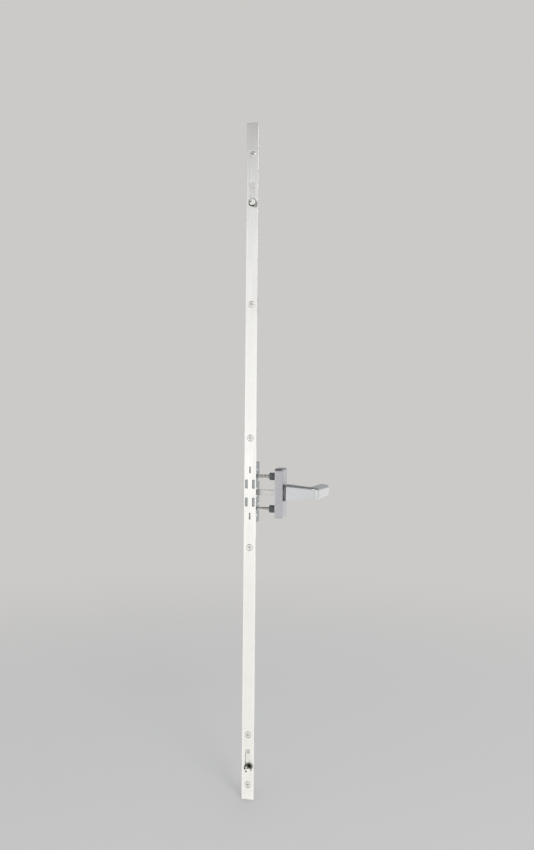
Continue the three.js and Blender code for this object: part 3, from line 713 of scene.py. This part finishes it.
for name, height in screw_heights.items():
    screw = copy_of(wood_screw, f"wood_screw_{name}", (0, 0, height))
    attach(screw, "gear")
    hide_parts(f"face_screw_{name}")
bpy.data.objects.remove(wood_screw)


# Drive rod: a galvanised flat bar, 10 x 2.5 mm, punched with windows for the follower's teeth, slots for
# the spacers' tabs and the screws, and necked down between the lugs of the gear case.
galvanised = surface(
    "galvanised rod",
    tone=(0.8, 0.795, 0.775),
    stain=(0.68, 0.675, 0.645),
    smooth=0.22,
    patch_scale=120,
    stained=0.7,
    grain=1800,
    stretch=(1, 1, 0.08),
    bare_and_highlight=(0.88, 0.88, 0.87),
    wear_and_highlight=0.8,
    shade_and_grime=0.4,
)

# Painted shade on the rod round the foot of each cam: its reach, where it is full, its tone and its
# roughness.
cam_shade_reach, cam_shade_full = 8 * mm, 5.5 * mm
cam_shade_tone = (0.085, 0.09, 0.075, 1)
cam_shade_roughness = 0.2


def cam_shade_group():
    """Painted shade round the foot of a pin: full inside, broken by noise and gone at the reach."""
    tree, given, result = group(
        "painted cam shade",
        [("Position", "Vector", (0, 0, 0)), ("Centre", "Vector", (0, 0, 0))],
        [("Mask", "Float")],
    )
    apart = node(tree, "VectorMath", operation="DISTANCE")
    edge = {"From Min": cam_shade_reach, "From Max": cam_shade_full}
    spread = node(tree, "MapRange", edge, interpolation_type="SMOOTHSTEP")
    smears = node(tree, "TexNoise", {"Scale": 500, "Detail": 3})
    broken = node(tree, "MapRange", {"From Min": 0.3, "From Max": 0.5, "To Min": 0.55})
    mask = node(tree, "Math", operation="MULTIPLY")
    wire(
        tree,
        (given, "Position", apart, 0),
        (given, "Centre", apart, 1),
        (apart, "Value", spread, "Value"),
        (given, "Position", smears, "Vector"),
        (smears, "Fac", broken, "Value"),
        (spread, 0, mask, 0),
        (broken, 0, mask, 1),
        (mask, 0, result, "Mask"),
    )
    return tree


cam_shades = cam_shade_group()


def paint_cam_shade(material, centre):
    """Paints dark shade over a surface round one place, and makes it glossier there."""
    tree = material.node_tree
    shader = tree.nodes["Principled BSDF"]
    place = node(tree, "TexCoord")
    cam_shade = node(tree, "Group", {"Centre": centre}, node_tree=cam_shades)
    wire(tree, (place, "Object", cam_shade, "Position"))
    for label, kind, under, coat, result, value in (
        ("Base Color", "RGBA", colour_a, colour_b, colour_result, cam_shade_tone),
        ("Roughness", "FLOAT", value_a, value_b, value_result, cam_shade_roughness),
    ):
        over = node(tree, "Mix", {coat: value}, data_type=kind)
        tree.links.new(shader.inputs[label].links[0].from_socket, over.inputs[under])
        wire(tree, (cam_shade, "Mask", over, "Factor"), (over, result, shader, label))


low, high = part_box("drive_rod")
rod_front, rod_back = low.y, high.y
rod_top_when_open = 399 * mm
rest_lift = high.z - rod_top_when_open
stroke = 18 * mm
waist_half = 2.9 * mm
waist_top = 17.9 * mm + rest_lift
waist_bottom = -35.9 * mm + rest_lift
shoulder = 2.1 * mm
rod = block("drive_rod_bar", low, high)
split(rod, "Z", (waist_bottom - shoulder, waist_bottom, waist_top, waist_top + shoulder))
for vertex in rod.data.vertices:
    if waist_bottom - overrun / 10 < vertex.co.z < waist_top + overrun / 10:
        vertex.co.x *= waist_half / abs(vertex.co.x)
split(rod, "X", (0,))
through = (rod_front - overrun, rod_back + overrun)
tooth_window, tooth_pitch, tooth_windows = 3.4 * mm, 6 * mm, 4
half = tooth_window / 2
for i in range(tooth_windows):
    height = rest_lift - i * tooth_pitch
    punch(rod, (-half, half), through, (height - half, height + half), 0.3 * mm, 3)
tab_slots = ((7.7 * mm, 35 * mm), (-53 * mm, -25.7 * mm))
for bottom, top in tab_slots:
    punch(rod, (-slit_half, slit_half), through, (bottom + rest_lift, top + rest_lift), 0.4 * mm, 3)
slot_half = 2.4 * mm
slot_above_screw = 1 * mm + slot_half
screw_slot = stroke + 6.4 * mm + 2 * slot_half
passing_screws = ("upper", "above_gear", "below_gear", "lower")
for name in passing_screws:
    top = screw_heights[name] + rest_lift + slot_above_screw
    punch(rod, (-slot_half, slot_half), through, (top - screw_slot, top), nearly_round * slot_half, 12)
cam_heights = {"upper": 378.6 * mm + rest_lift, "lower": -362.4 * mm + rest_lift}
cam_hole = 2.2 * mm
for height in cam_heights.values():
    bore(rod, "Y", (0, 0, height), *through, cam_hole, sides=48)
soften(rod, 0.25 * mm, 2)
# Painted shade on the rod round the foot of each cam.
for height in cam_heights.values():
    paint_cam_shade(galvanised, (0, rod_front, height))
finish(rod, galvanised)
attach(rod, "rod")
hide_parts("drive_rod")


# Locking cams: hardened steel, bright from their plating, each turned in one piece with a shank that is
# riveted over behind the rod. The head stands off centre, and a key fits the socket on the shank's axis.
cam_steel = surface(
    "bright cam steel",
    tone=(0.86, 0.855, 0.84),
    stain=(0.74, 0.73, 0.7),
    smooth=0.16,
    rough=0.3,
    patch_scale=300,
    stained=0.4,
    grain=2600,
    depth=0.004 * mm,
    bare_and_highlight=(0.95, 0.95, 0.94),
    wear_and_highlight=0.9,
    shade_and_grime=0.6,
)

# Painted shade and painted dark reflection for the sides of the cam heads.
cam_side_shade = surface(
    "cam side with painted shade",
    tone=(0.3, 0.29, 0.27),
    stain=(0.16, 0.155, 0.14),
    smooth=0.18,
    rough=0.34,
    patch_scale=260,
    stained=0.7,
    grain=2600,
    depth=0.006 * mm,
    bare_and_highlight=(0.7, 0.69, 0.66),
    shade_and_grime=0.6,
)

eccentric = 2 * mm
cam_front = -9 * mm
cam_under = -6.8 * mm
key_radius, key_depth = 1.3 * mm, 3 * mm
for name, height in cam_heights.items():
    head = turned(
        f"{name}_cam_turning",
        "Y",
        (eccentric, 0, height),
        [
            (cam_front, 3.3 * mm),
            (cam_front + 0.12 * mm, 3.62 * mm),
            (cam_front + 0.5 * mm, 3.9 * mm),
            (cam_under - 0.5 * mm, 3.9 * mm),
            (cam_under, 3.5 * mm),
            (cam_under + 0.2 * mm, 3.4 * mm),
            (-0.3 * mm, 3.4 * mm),
        ],
        sides=72,
    )
    shank = [
        (-0.9 * mm, 3 * mm),
        (2 * mm, 3 * mm),
        (2 * mm, 1.9 * mm),
        (rod_back + 0.3 * mm, 1.9 * mm),
        (rod_back + 0.3 * mm, 2.9 * mm),
        (rod_back + 0.8 * mm, 2.7 * mm),
        (rod_back + 1.1 * mm, 1.9 * mm),
    ]
    join(head, turned("shank", "Y", (0, 0, height), shank))
    bore(head, "Y", (0, 0, height), cam_front - overrun, cam_front + key_depth, key_radius, sides=6)
    soften(head, 0.1 * mm, 2, 50)
    finish(head, cam_steel)
    # The side faces of each head take the dark material: painted shade and painted dark reflection.
    head.data.materials.append(cam_side_shade)
    for face in head.data.polygons:
        side_face = abs(face.normal.y) < 0.7 and face.center.y > cam_front + 0.4 * mm
        face.material_index = 1 if side_face else 0
    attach(head, f"cam_{name}")
    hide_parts(f"{name}_cam")


# Rod guides: grey nylon channels, moulded, that hold the rod to the back of the faceplate at the four
# screws that pass through it.
grey_nylon = surface(
    "grey nylon",
    tone=(0.16, 0.165, 0.17),
    stain=(0.125, 0.13, 0.135),
    metallic=0,
    smooth=0.45,
    rough=0.62,
    patch_scale=180,
    stained=0.6,
    grain=5200,
    depth=0.02 * mm,
    bare_and_highlight=(0.26, 0.265, 0.27),
    wear_and_highlight=0.6,
    shade_and_grime=0.2,
    specular=0.4,
)

channel_half = 5.3 * mm
guide_wall = 1.5 * mm
for name in passing_screws:
    low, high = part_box(f"rod_guide_{name}")
    guide = block(f"rod_channel_{name}", low, high)
    channel = block(
        "core",
        (-channel_half, low.y - overrun, low.z - overrun),
        (channel_half, high.y - guide_wall, high.z + overrun),
    )
    cut(guide, channel)
    middle = (0, 0, screw_heights[name])
    bore(guide, "Y", middle, low.y - overrun, high.y + overrun, slot_half, sides=48)
    soften(guide, 0.35 * mm, 3)
    finish(guide, grey_nylon)
    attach(guide, "gear")
    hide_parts(f"rod_guide_{name}")


# Gear case: two die-cast zinc halves around the follower, with two lugs on each half that reach through
# the waist of the rod into windows in the faceplate.
die_cast = surface(
    "die-cast zinc",
    tone=(0.42, 0.445, 0.475),
    stain=(0.35, 0.37, 0.395),
    smooth=0.42,
    rough=0.6,
    patch_scale=110,
    stained=0.6,
    grain=2200,
    depth=0.03 * mm,
    bare_and_highlight=(0.6, 0.61, 0.625),
    wear_and_highlight=0.45,
)

case_front = 5.1 * mm
case_back = 27 * mm
case_high = 40 * mm
case_corner = (18 * mm, 30 * mm)
backset = 15 * mm
bolt_height = 21.5 * mm
pocket_back = 21.55 * mm
rivet_places = ((14 * mm, 30.4 * mm), (23 * mm, 16 * mm))
case_inner, case_outer = 0.15 * mm, 6.5 * mm
lug_across, lug_height = (3.25 * mm, 6.15 * mm), (6.3 * mm, 17.3 * mm)
lug_front = 1 * mm
pocket_radius, pocket_deep = 13.1 * mm, 1.7 * mm
recess_height, recess_back, recess_deep = (24.4 * mm, 36.3 * mm), 22.3 * mm, 1 * mm
hub_bore, bolt_bore, rivet_bore = 6.9 * mm, 2.75 * mm, 1.8 * mm
rivet_seat, rivet_seat_from = 2.9 * mm, 5.4 * mm


def outwards(side, near, far):
    """Two distances from the middle to one side, the lower place first."""
    return sorted((side * near, side * far))


for name, side in (("room", 1), ("outside", -1)):
    near, far = outwards(side, case_inner, case_outer)
    half = block(f"case_casting_{name}", (near, case_front, -case_high), (far, case_back, case_high))
    for end in (-1, 1):
        rise = case_high - case_corner[1]
        run = case_back - case_corner[0]
        trim(half, (0, case_back, end * case_corner[1]), (0, rise, end * run))
    flank = side * case_outer
    round_edges(half, "Y", 0.8 * mm, 4, lambda place: abs(place.x - flank) < overrun / 10)
    seams_beside_edges(half, 1.2 * mm)
    for end in (-1, 1):
        bottom, top = outwards(end, *lug_height)
        near, far = outwards(side, *lug_across)
        lug = block("lug", (near, lug_front, bottom), (far, case_front + overrun, top))
        join(half, round_edges(lug, "Y", 0.35 * mm, 3))
    rings = [(place, pocket_radius) for place in outwards(side, -overrun, pocket_deep)]
    pocket = turned("pocket", "X", (0, backset, 0), rings, sides=96)
    trim(pocket, (0, pocket_back, 0), (0, 1, 0))
    cut(half, pocket)
    through = outwards(side, -overrun, case_outer + overrun)
    bore(half, "X", (0, backset, 0), *through, hub_bore, sides=72)
    for end in (-1, 1):
        bottom, top = outwards(end, *recess_height)
        near, far = outwards(side, -overrun, recess_deep)
        cut(half, block("recess", (near, case_front - overrun, bottom), (far, recess_back, top)))
        bore(half, "X", (0, backset, end * bolt_height), *through, bolt_bore, sides=48)
        for y, z in rivet_places:
            bore(half, "X", (0, y, end * z), *through, rivet_bore, sides=32)
            seat_ends = outwards(side, rivet_seat_from, case_outer + overrun)
            bore(half, "X", (0, y, end * z), *seat_ends, rivet_seat, sides=48)
    soften(half, 0.3 * mm, 3)
    finish(half, die_cast)
    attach(half, "gear")
    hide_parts(f"case_half_{name}")


# Case rivets: four pins of zinc-plated steel through both case halves, which they hold together. Their
# turned heads sit sunk in round seats.
face, under = 6.5 * mm, 5.7 * mm
rings = [
    (-face, 1.9 * mm),
    (-face + 0.2 * mm, 2.4 * mm),
    (-face + 0.45 * mm, 2.6 * mm),
    (-under, 2.6 * mm),
    (-under, 1.5 * mm),
    (under, 1.5 * mm),
    (under, 2.6 * mm),
    (face - 0.45 * mm, 2.6 * mm),
    (face - 0.2 * mm, 2.4 * mm),
    (face, 1.9 * mm),
]
for end, place in ((1, "upper"), (-1, "lower")):
    for (y, z), where in zip(rivet_places, ("end", "back")):
        rivet = turned(f"rivet_{place}_{where}", "X", (0, y, end * z), rings, sides=40)
        finish(rivet, plated_steel, 50)
        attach(rivet, "gear")
        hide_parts(f"case_rivet_{place}_{where}")


# Follower, spacers, circlip and wave washer: stamped and ground steel inside the case and the rose, shown
# by their own solids. All but the thin washer have their edges eased.
dark_spring = surface(
    "spring steel",
    tone=(0.3, 0.31, 0.33),
    stain=(0.2, 0.2, 0.21),
    smooth=0.28,
    rough=0.45,
    patch_scale=260,
    grain=2400,
    depth=0.006 * mm,
    bare_and_highlight=(0.6, 0.6, 0.6),
    wear_and_highlight=0.7,
    shade_and_grime=0.3,
)
for name, material, slot_name, edge in (
    ("follower", plated_steel, "hard_steel", 0.12 * mm),
    ("spacer_upper", dark_spring, "hard_steel", 0.12 * mm),
    ("spacer_lower", dark_spring, "hard_steel", 0.12 * mm),
    ("circlip", dark_spring, "spring_steel", 0.08 * mm),
    ("wave_washer", dark_spring, "spring_steel", 0),
):
    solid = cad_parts[name]
    solid.data.materials.clear()
    solid.data.materials.append(material)
    if edge:
        seam = solid.modifiers.new("seams", "WELD")
        seam.merge_threshold = 0.001 * mm
        facets = solid.modifiers.new("facets", "DECIMATE")
        facets.decimate_type = "DISSOLVE"
        facets.angle_limit = math.radians(1)
        eased = solid.modifiers.new("eased edges", "BEVEL")
        eased.width = edge
        eased.segments = 2
        eased.angle_limit = math.radians(40)


# Spindle: a 7 mm square bar of drawn steel with chamfered ends, from the follower through the rose into
# the lever. It droops with the lever by the play of the gear.
drawn_steel = surface(
    "drawn steel bar",
    tone=(0.56, 0.56, 0.55),
    stain=(0.46, 0.455, 0.44),
    smooth=0.26,
    rough=0.42,
    patch_scale=150,
    stained=0.6,
    grain=2400,
    stretch=(0.05, 1, 1),
    depth=0.008 * mm,
    bare_and_highlight=(0.74, 0.74, 0.73),
    wear_and_highlight=0.8,
)
rest_droop = -2.3
spindle_start, spindle_end = -6 * mm, 64 * mm
half = 3.5 * mm
spindle = block("spindle_bar", (spindle_start, -half, -half), (spindle_end, half, half))
round_edges(spindle, "X", 0.5 * mm, 4)
soften(spindle, 0.5 * mm, 1, 60)


def hang(piece):
    """Turns a piece about X to the handle's rest and moves it out to the backset."""
    piece.rotation_euler = (math.radians(rest_droop), 0, 0)
    piece.location = (0, backset, 0)
    return settle(piece, piece.name)


finish(hang(spindle), drawn_steel)
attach(spindle, "handle")
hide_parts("spindle")


# Rose bolts: zinc-plated machine screws under the rose cover, which clamp the rose through the sash to
# the gear case.
bolt_end, bolt_radius, bolt_core = -5.5 * mm, 2.45 * mm, 1.98 * mm
bolt_head = 37 * mm
bolt_pitch = 0.9 * mm
thread_end = 22 * mm
steps = round((thread_end - bolt_end) / bolt_pitch * rings_a_pitch)
rings = [(bolt_end, bolt_radius - 0.5 * mm)]
thread_length = thread_end - bolt_end
rings += [(bolt_end + 0.4 * mm + thread_length * i / steps, bolt_radius) for i in range(steps + 1)]
rings += [
    (bolt_head, bolt_radius),
    (bolt_head, 4.2 * mm),
    (bolt_head + 0.2 * mm, 4.4 * mm),
    (bolt_head + 2.2 * mm, 4.4 * mm),
    (bolt_head + 2.6 * mm, 4.1 * mm),
    (bolt_head + 2.8 * mm, 3.6 * mm),
]
for end, place in ((1, "upper"), (-1, "lower")):
    middle = (0, backset, end * bolt_height)
    bolt = turned(f"rose_clamp_bolt_{place}", "X", middle, rings, sides=32)
    thread(bolt, "X", middle, bolt_end + 0.3 * mm, thread_end, bolt_radius, bolt_core, bolt_pitch)
    face = bolt_head + 2.8 * mm
    cross_recess(bolt, "X", middle, face, -1, reach=4.6 * mm, web=1.1 * mm, depth=1.5 * mm)
    finish(bolt, plated_steel, 50)
    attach(bolt, "gear")
    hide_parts(f"rose_bolt_{place}")


# Rose base: a moulded nylon plate against the sash, with two pegs let into it and a boss that holds the
# handle's bearing.
seat = 33.2 * mm
rose_front = 43.6 * mm
cover_wall = 1.6 * mm
rose_half = (16 * mm, 32.6 * mm)
base_half = [half - cover_wall - 0.3 * mm for half in rose_half]
base_thick = 3.5 * mm
peg_length = 10 * mm
base = block(
    "rose_base_moulding",
    (seat, backset - base_half[0], -base_half[1]),
    (seat + base_thick, backset + base_half[0], base_half[1]),
)
round_edges(base, "X", 2.2 * mm, 6)
boss_front = rose_front - cover_wall - 0.3 * mm
boss_radius = 13.4 * mm
middle = (0, backset, 0)
boss = [(seat + 0.5 * mm, boss_radius), (boss_front, boss_radius)]
join(base, turned("boss", "X", middle, boss, sides=96))
for end in (-1, 1):
    peg = [(seat - peg_length, 4.4 * mm), (seat - peg_length + 0.8 * mm, 5 * mm), (seat + overrun, 5 * mm)]
    join(base, turned("peg", "X", (0, backset, end * bolt_height), peg))
ledge = 36.6 * mm
clip_room, neck_bore, bush_seat = 12 * mm, 8.3 * mm, 9.6 * mm
bore(base, "X", middle, seat - overrun, ledge, clip_room, sides=96)
bore(base, "X", middle, seat, rose_front, neck_bore, sides=96)
bore(base, "X", middle, ledge + 1.5 * mm, rose_front, bush_seat, sides=96)
for end in (-1, 1):
    place = (0, backset, end * bolt_height)
    bore(base, "X", place, seat - peg_length - overrun, rose_front, bolt_bore, sides=48)
soften(base, 0.3 * mm, 2)
finish(base, grey_nylon)
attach(base, "gear")
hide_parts("rose_base")


# Rose cover: a thin aluminium cap, satin anodised, pressed with soft front edges. It snaps over the base
# and hides the two bolts.
# On this cap the lighter edge tone also paints the bright highlight along its front edges.
satin_cover = surface(
    "satin silver sheet",
    tone=(0.46, 0.46, 0.49),
    stain=(0.42, 0.42, 0.45),
    smooth=0.34,
    rough=0.44,
    patch_scale=70,
    grain=4200,
    depth=0.006 * mm,
    bare_and_highlight=(0.76, 0.76, 0.78),
    wear_and_highlight=0.3,
    shade_and_grime_tone=(0.1, 0.095, 0.09),
)

cover = block(
    "rose_cap",
    (seat, backset - rose_half[0], -rose_half[1]),
    (rose_front, backset + rose_half[0], rose_half[1]),
)
round_edges(cover, "X", 3.8 * mm, 10)
open_mesh(cover, "DESELECT")
close_mesh()
for face in cover.data.polygons:
    face.select = face.normal.x < -0.9
bpy.ops.object.mode_set(mode="EDIT")
bpy.ops.mesh.select_mode(type="FACE")
bpy.ops.mesh.delete(type="FACE")
close_mesh()
rim = cover.modifiers.new("pressed edge", "BEVEL")
rim.width = 2.2 * mm
rim.segments = 8
rim.angle_limit = math.radians(60)
apply(cover, rim)
wall = cover.modifiers.new("wall", "SOLIDIFY")
wall.thickness = cover_wall
wall.offset = -1
wall.use_even_offset = True
apply(cover, wall)
seams_beside_edges(cover, 2.6 * mm)
cover_opening = 9.9 * mm
bore(cover, "X", middle, seat, rose_front + overrun, cover_opening, sides=96)
finish(cover, satin_cover)
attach(cover, "gear")
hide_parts("rose_cover")


# Neck bush: a dark nylon bearing pressed into the rose base, in which the lever's neck turns. Its flange
# fills the gap under the lever.
dark_nylon = surface(
    "dark nylon",
    tone=(0.3, 0.302, 0.315),
    stain=(0.25, 0.252, 0.262),
    metallic=0,
    smooth=0.4,
    rough=0.6,
    patch_scale=200,
    grain=5200,
    depth=0.015 * mm,
    bare_and_highlight=(0.3, 0.3, 0.31),
    shade_and_grime=0.1,
    specular=0.4,
)
low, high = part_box("neck_bush")
flange_back = high.x - 1.6 * mm
bush_radius, flange_radius = 9.3 * mm, 10.4 * mm
rings = [
    (low.x, bush_radius),
    (flange_back, bush_radius),
    (flange_back, flange_radius),
    (high.x, flange_radius),
]
bush = turned("neck_bearing", "X", middle, rings, sides=96)
bore(bush, "X", middle, low.x - overrun, high.x + overrun, neck_bore, sides=96)
soften(bush, 0.2 * mm, 2)
finish(bush, dark_nylon)
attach(bush, "gear")
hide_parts("neck_bush")


# Lever: one aluminium casting, ground and satin anodised. A tapering leg stands out from the rose, turns
# through a tight bend and runs on as a tapering grip, softer on its outer edges than on its inner ones.
satin_casting = surface(
    "satin silver casting",
    tone=(0.61, 0.625, 0.64),
    stain=(0.56, 0.57, 0.58),
    smooth=0.32,
    rough=0.42,
    patch_scale=70,
    stained=0.4,
    grain=4200,
    depth=0.006 * mm,
    bare_and_highlight=(0.78, 0.78, 0.79),
    wear_and_highlight=0.3,
    shade_and_grime=0.4,
    shade_and_grime_tone=(0.1, 0.095, 0.09),
)

lever_start = 46 * mm
reach_at_bend, reach_at_tip = 89.2 * mm, 87.6 * mm
grip_end = 112 * mm
leg_depth = (20 * mm, 14 * mm)
leg_height = (23.4 * mm, 17.4 * mm)
grip_height = (16.6 * mm, 15 * mm)
grip_thick = (14.6 * mm, 13.2 * mm)
outer_radius, inner_radius = 9 * mm, 5 * mm
flare = 3 * mm
outer_arc = Vector((reach_at_bend - outer_radius, -leg_depth[1] / 2 + outer_radius))
inner_arc = Vector((reach_at_bend - grip_thick[0] - inner_radius, leg_depth[1] / 2 + inner_radius))


def mix(pair, share):
    """A value between two, at a share of the way."""
    return pair[0] + (pair[1] - pair[0]) * share


def corners(inner, outer, height, taller=0):
    """The four corners of a section: outer below and above, inner above and below."""
    return [
        Vector((outer.x, outer.y, -height / 2)),
        Vector((outer.x, outer.y, height / 2)),
        Vector((inner.x, inner.y, (height + taller) / 2)),
        Vector((inner.x, inner.y, -(height + taller) / 2)),
    ]


half = leg_depth[0] / 2
sections = [corners(Vector((lever_start, half)), Vector((lever_start, -half)), leg_height[0])]
bend_steps = 14
for i in range(bend_steps + 1):
    angle = math.pi / 2 * i / bend_steps
    spoke = Vector((math.sin(angle), -math.cos(angle)))
    height = mix((leg_height[1], grip_height[0]), i / bend_steps)
    sections.append(corners(inner_arc + spoke * inner_radius, outer_arc + spoke * outer_radius, height))
sections.append(
    corners(
        Vector((reach_at_tip - grip_thick[1], grip_end)),
        Vector((reach_at_tip, grip_end)),
        grip_height[1],
        flare,
    )
)

bpy.ops.object.select_all(action="DESELECT")
bpy.ops.mesh.primitive_plane_add(
    size=leg_depth[0], location=(lever_start, 0, 0), rotation=(0, math.pi / 2, 0)
)
lever = settle(bpy.context.object, "lever_casting")


def corner_order(point, centre, across):
    """Which corner of a section a point stands for."""
    up = point.z > centre.z
    outside = (point - centre).dot(across) > 0
    return (1 if up else 0) if outside else (2 if up else 3)


bpy.ops.object.mode_set(mode="EDIT")
bpy.ops.mesh.select_mode(type="FACE")
bpy.ops.mesh.select_all(action="SELECT")
for index, section in enumerate(sections):
    if index:
        step = sum(section, Vector()) / 4 - sum(sections[index - 1], Vector()) / 4
        bpy.ops.mesh.extrude_region_move(TRANSFORM_OT_translate={"value": step})
    close_mesh()
    moved = [v for v in lever.data.vertices if v.select]
    centre = sum((v.co for v in moved), Vector()) / 4
    across = section[0] - section[3]
    across.z = 0
    for vertex in moved:
        vertex.co = section[corner_order(vertex.co, centre, across)]
    bpy.ops.object.mode_set(mode="EDIT")
bpy.ops.mesh.select_all(action="SELECT")
bpy.ops.mesh.normals_make_consistent(inside=False)
close_mesh()

widest = 4.4 * mm
rounding = {"leg": 4 * mm, "grip": 4.4 * mm, "inner": 1.8 * mm, "back": 1.5 * mm, "tip": 3.6 * mm}
weights = lever.data.attributes.new("bevel_weight_edge", "FLOAT", "EDGE")
hair = 0.001 * mm


def rounded(point):
    """A point in whole thousandths of a millimetre, so that equal points compare as equal."""
    return tuple(round(part, 6) for part in point)


inner_points = {rounded(corner) for section in sections for corner in section[2:]}
for edge in lever.data.edges:
    a, b = (lever.data.vertices[i].co for i in edge.vertices)
    inner_ends = (rounded(a) in inner_points) + (rounded(b) in inner_points)
    if abs(a.x - lever_start) < hair and abs(b.x - lever_start) < hair:
        size = rounding["back"]
    elif abs(a.y - grip_end) < hair and abs(b.y - grip_end) < hair:
        size = rounding["tip"]
    elif a.z * b.z > 0 and inner_ends == 2:
        size = rounding["inner"]
    elif a.z * b.z > 0 and inner_ends == 0:
        size = mix((rounding["leg"], rounding["grip"]), min(1, max(0, (a.y + b.y) / 2 / outer_radius)))
    else:
        size = 0
    weights.data[edge.index].value = size / widest
soft = lever.modifiers.new("ground edges", "BEVEL")
soft.width = widest
soft.segments = 8
soft.limit_method = "WEIGHT"
soft.use_clamp_overlap = False
apply(lever, soft)

neck = [
    (33.6 * mm, 7.6 * mm),
    (34 * mm, 8 * mm),
    (34.3 * mm, 8 * mm),
    (34.3 * mm, 7.1 * mm),
    (35.8 * mm, 7.1 * mm),
    (35.8 * mm, 8 * mm),
    (lever_start + overrun, 8 * mm),
]
join(lever, turned("neck", "X", (0, 0, 0), neck, sides=96))
bar_half = 3.8 * mm
broach_start, broach_end = 33 * mm, 64.3 * mm
cut(lever, block("broach", (broach_start, -bar_half, -bar_half), (broach_end, bar_half, bar_half)))
grub_place = 52.5 * mm
grub_bore, grub_bore_end = 2.7 * mm, 20 * mm
bore(lever, "Y", (grub_place, 0, 0), 0, grub_bore_end, grub_bore, sides=48)
finish(hang(lever), satin_casting)
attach(lever, "handle")
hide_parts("lever")


# Grub screw: a short steel set screw with a hexagon socket in the lever's side, which faces down when
# the window is shut. It clamps the spindle.
grub_start, grub_end = 3.8 * mm, 8.8 * mm
grub = turned(
    "set_screw",
    "Y",
    (grub_place, 0, 0),
    [
        (grub_start, 1.6 * mm),
        (grub_start + 0.6 * mm, 2.4 * mm),
        (grub_end - 0.3 * mm, 2.4 * mm),
        (grub_end, 2.1 * mm),
    ],
    sides=48,
)
key_depth, key_radius = 2.5 * mm, 1.2 * mm
bore(grub, "Y", (grub_place, 0, 0), grub_end - key_depth, grub_end + overrun, key_radius, sides=6)
finish(hang(grub), dark_spring)
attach(grub, "handle")
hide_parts("grub_screw")
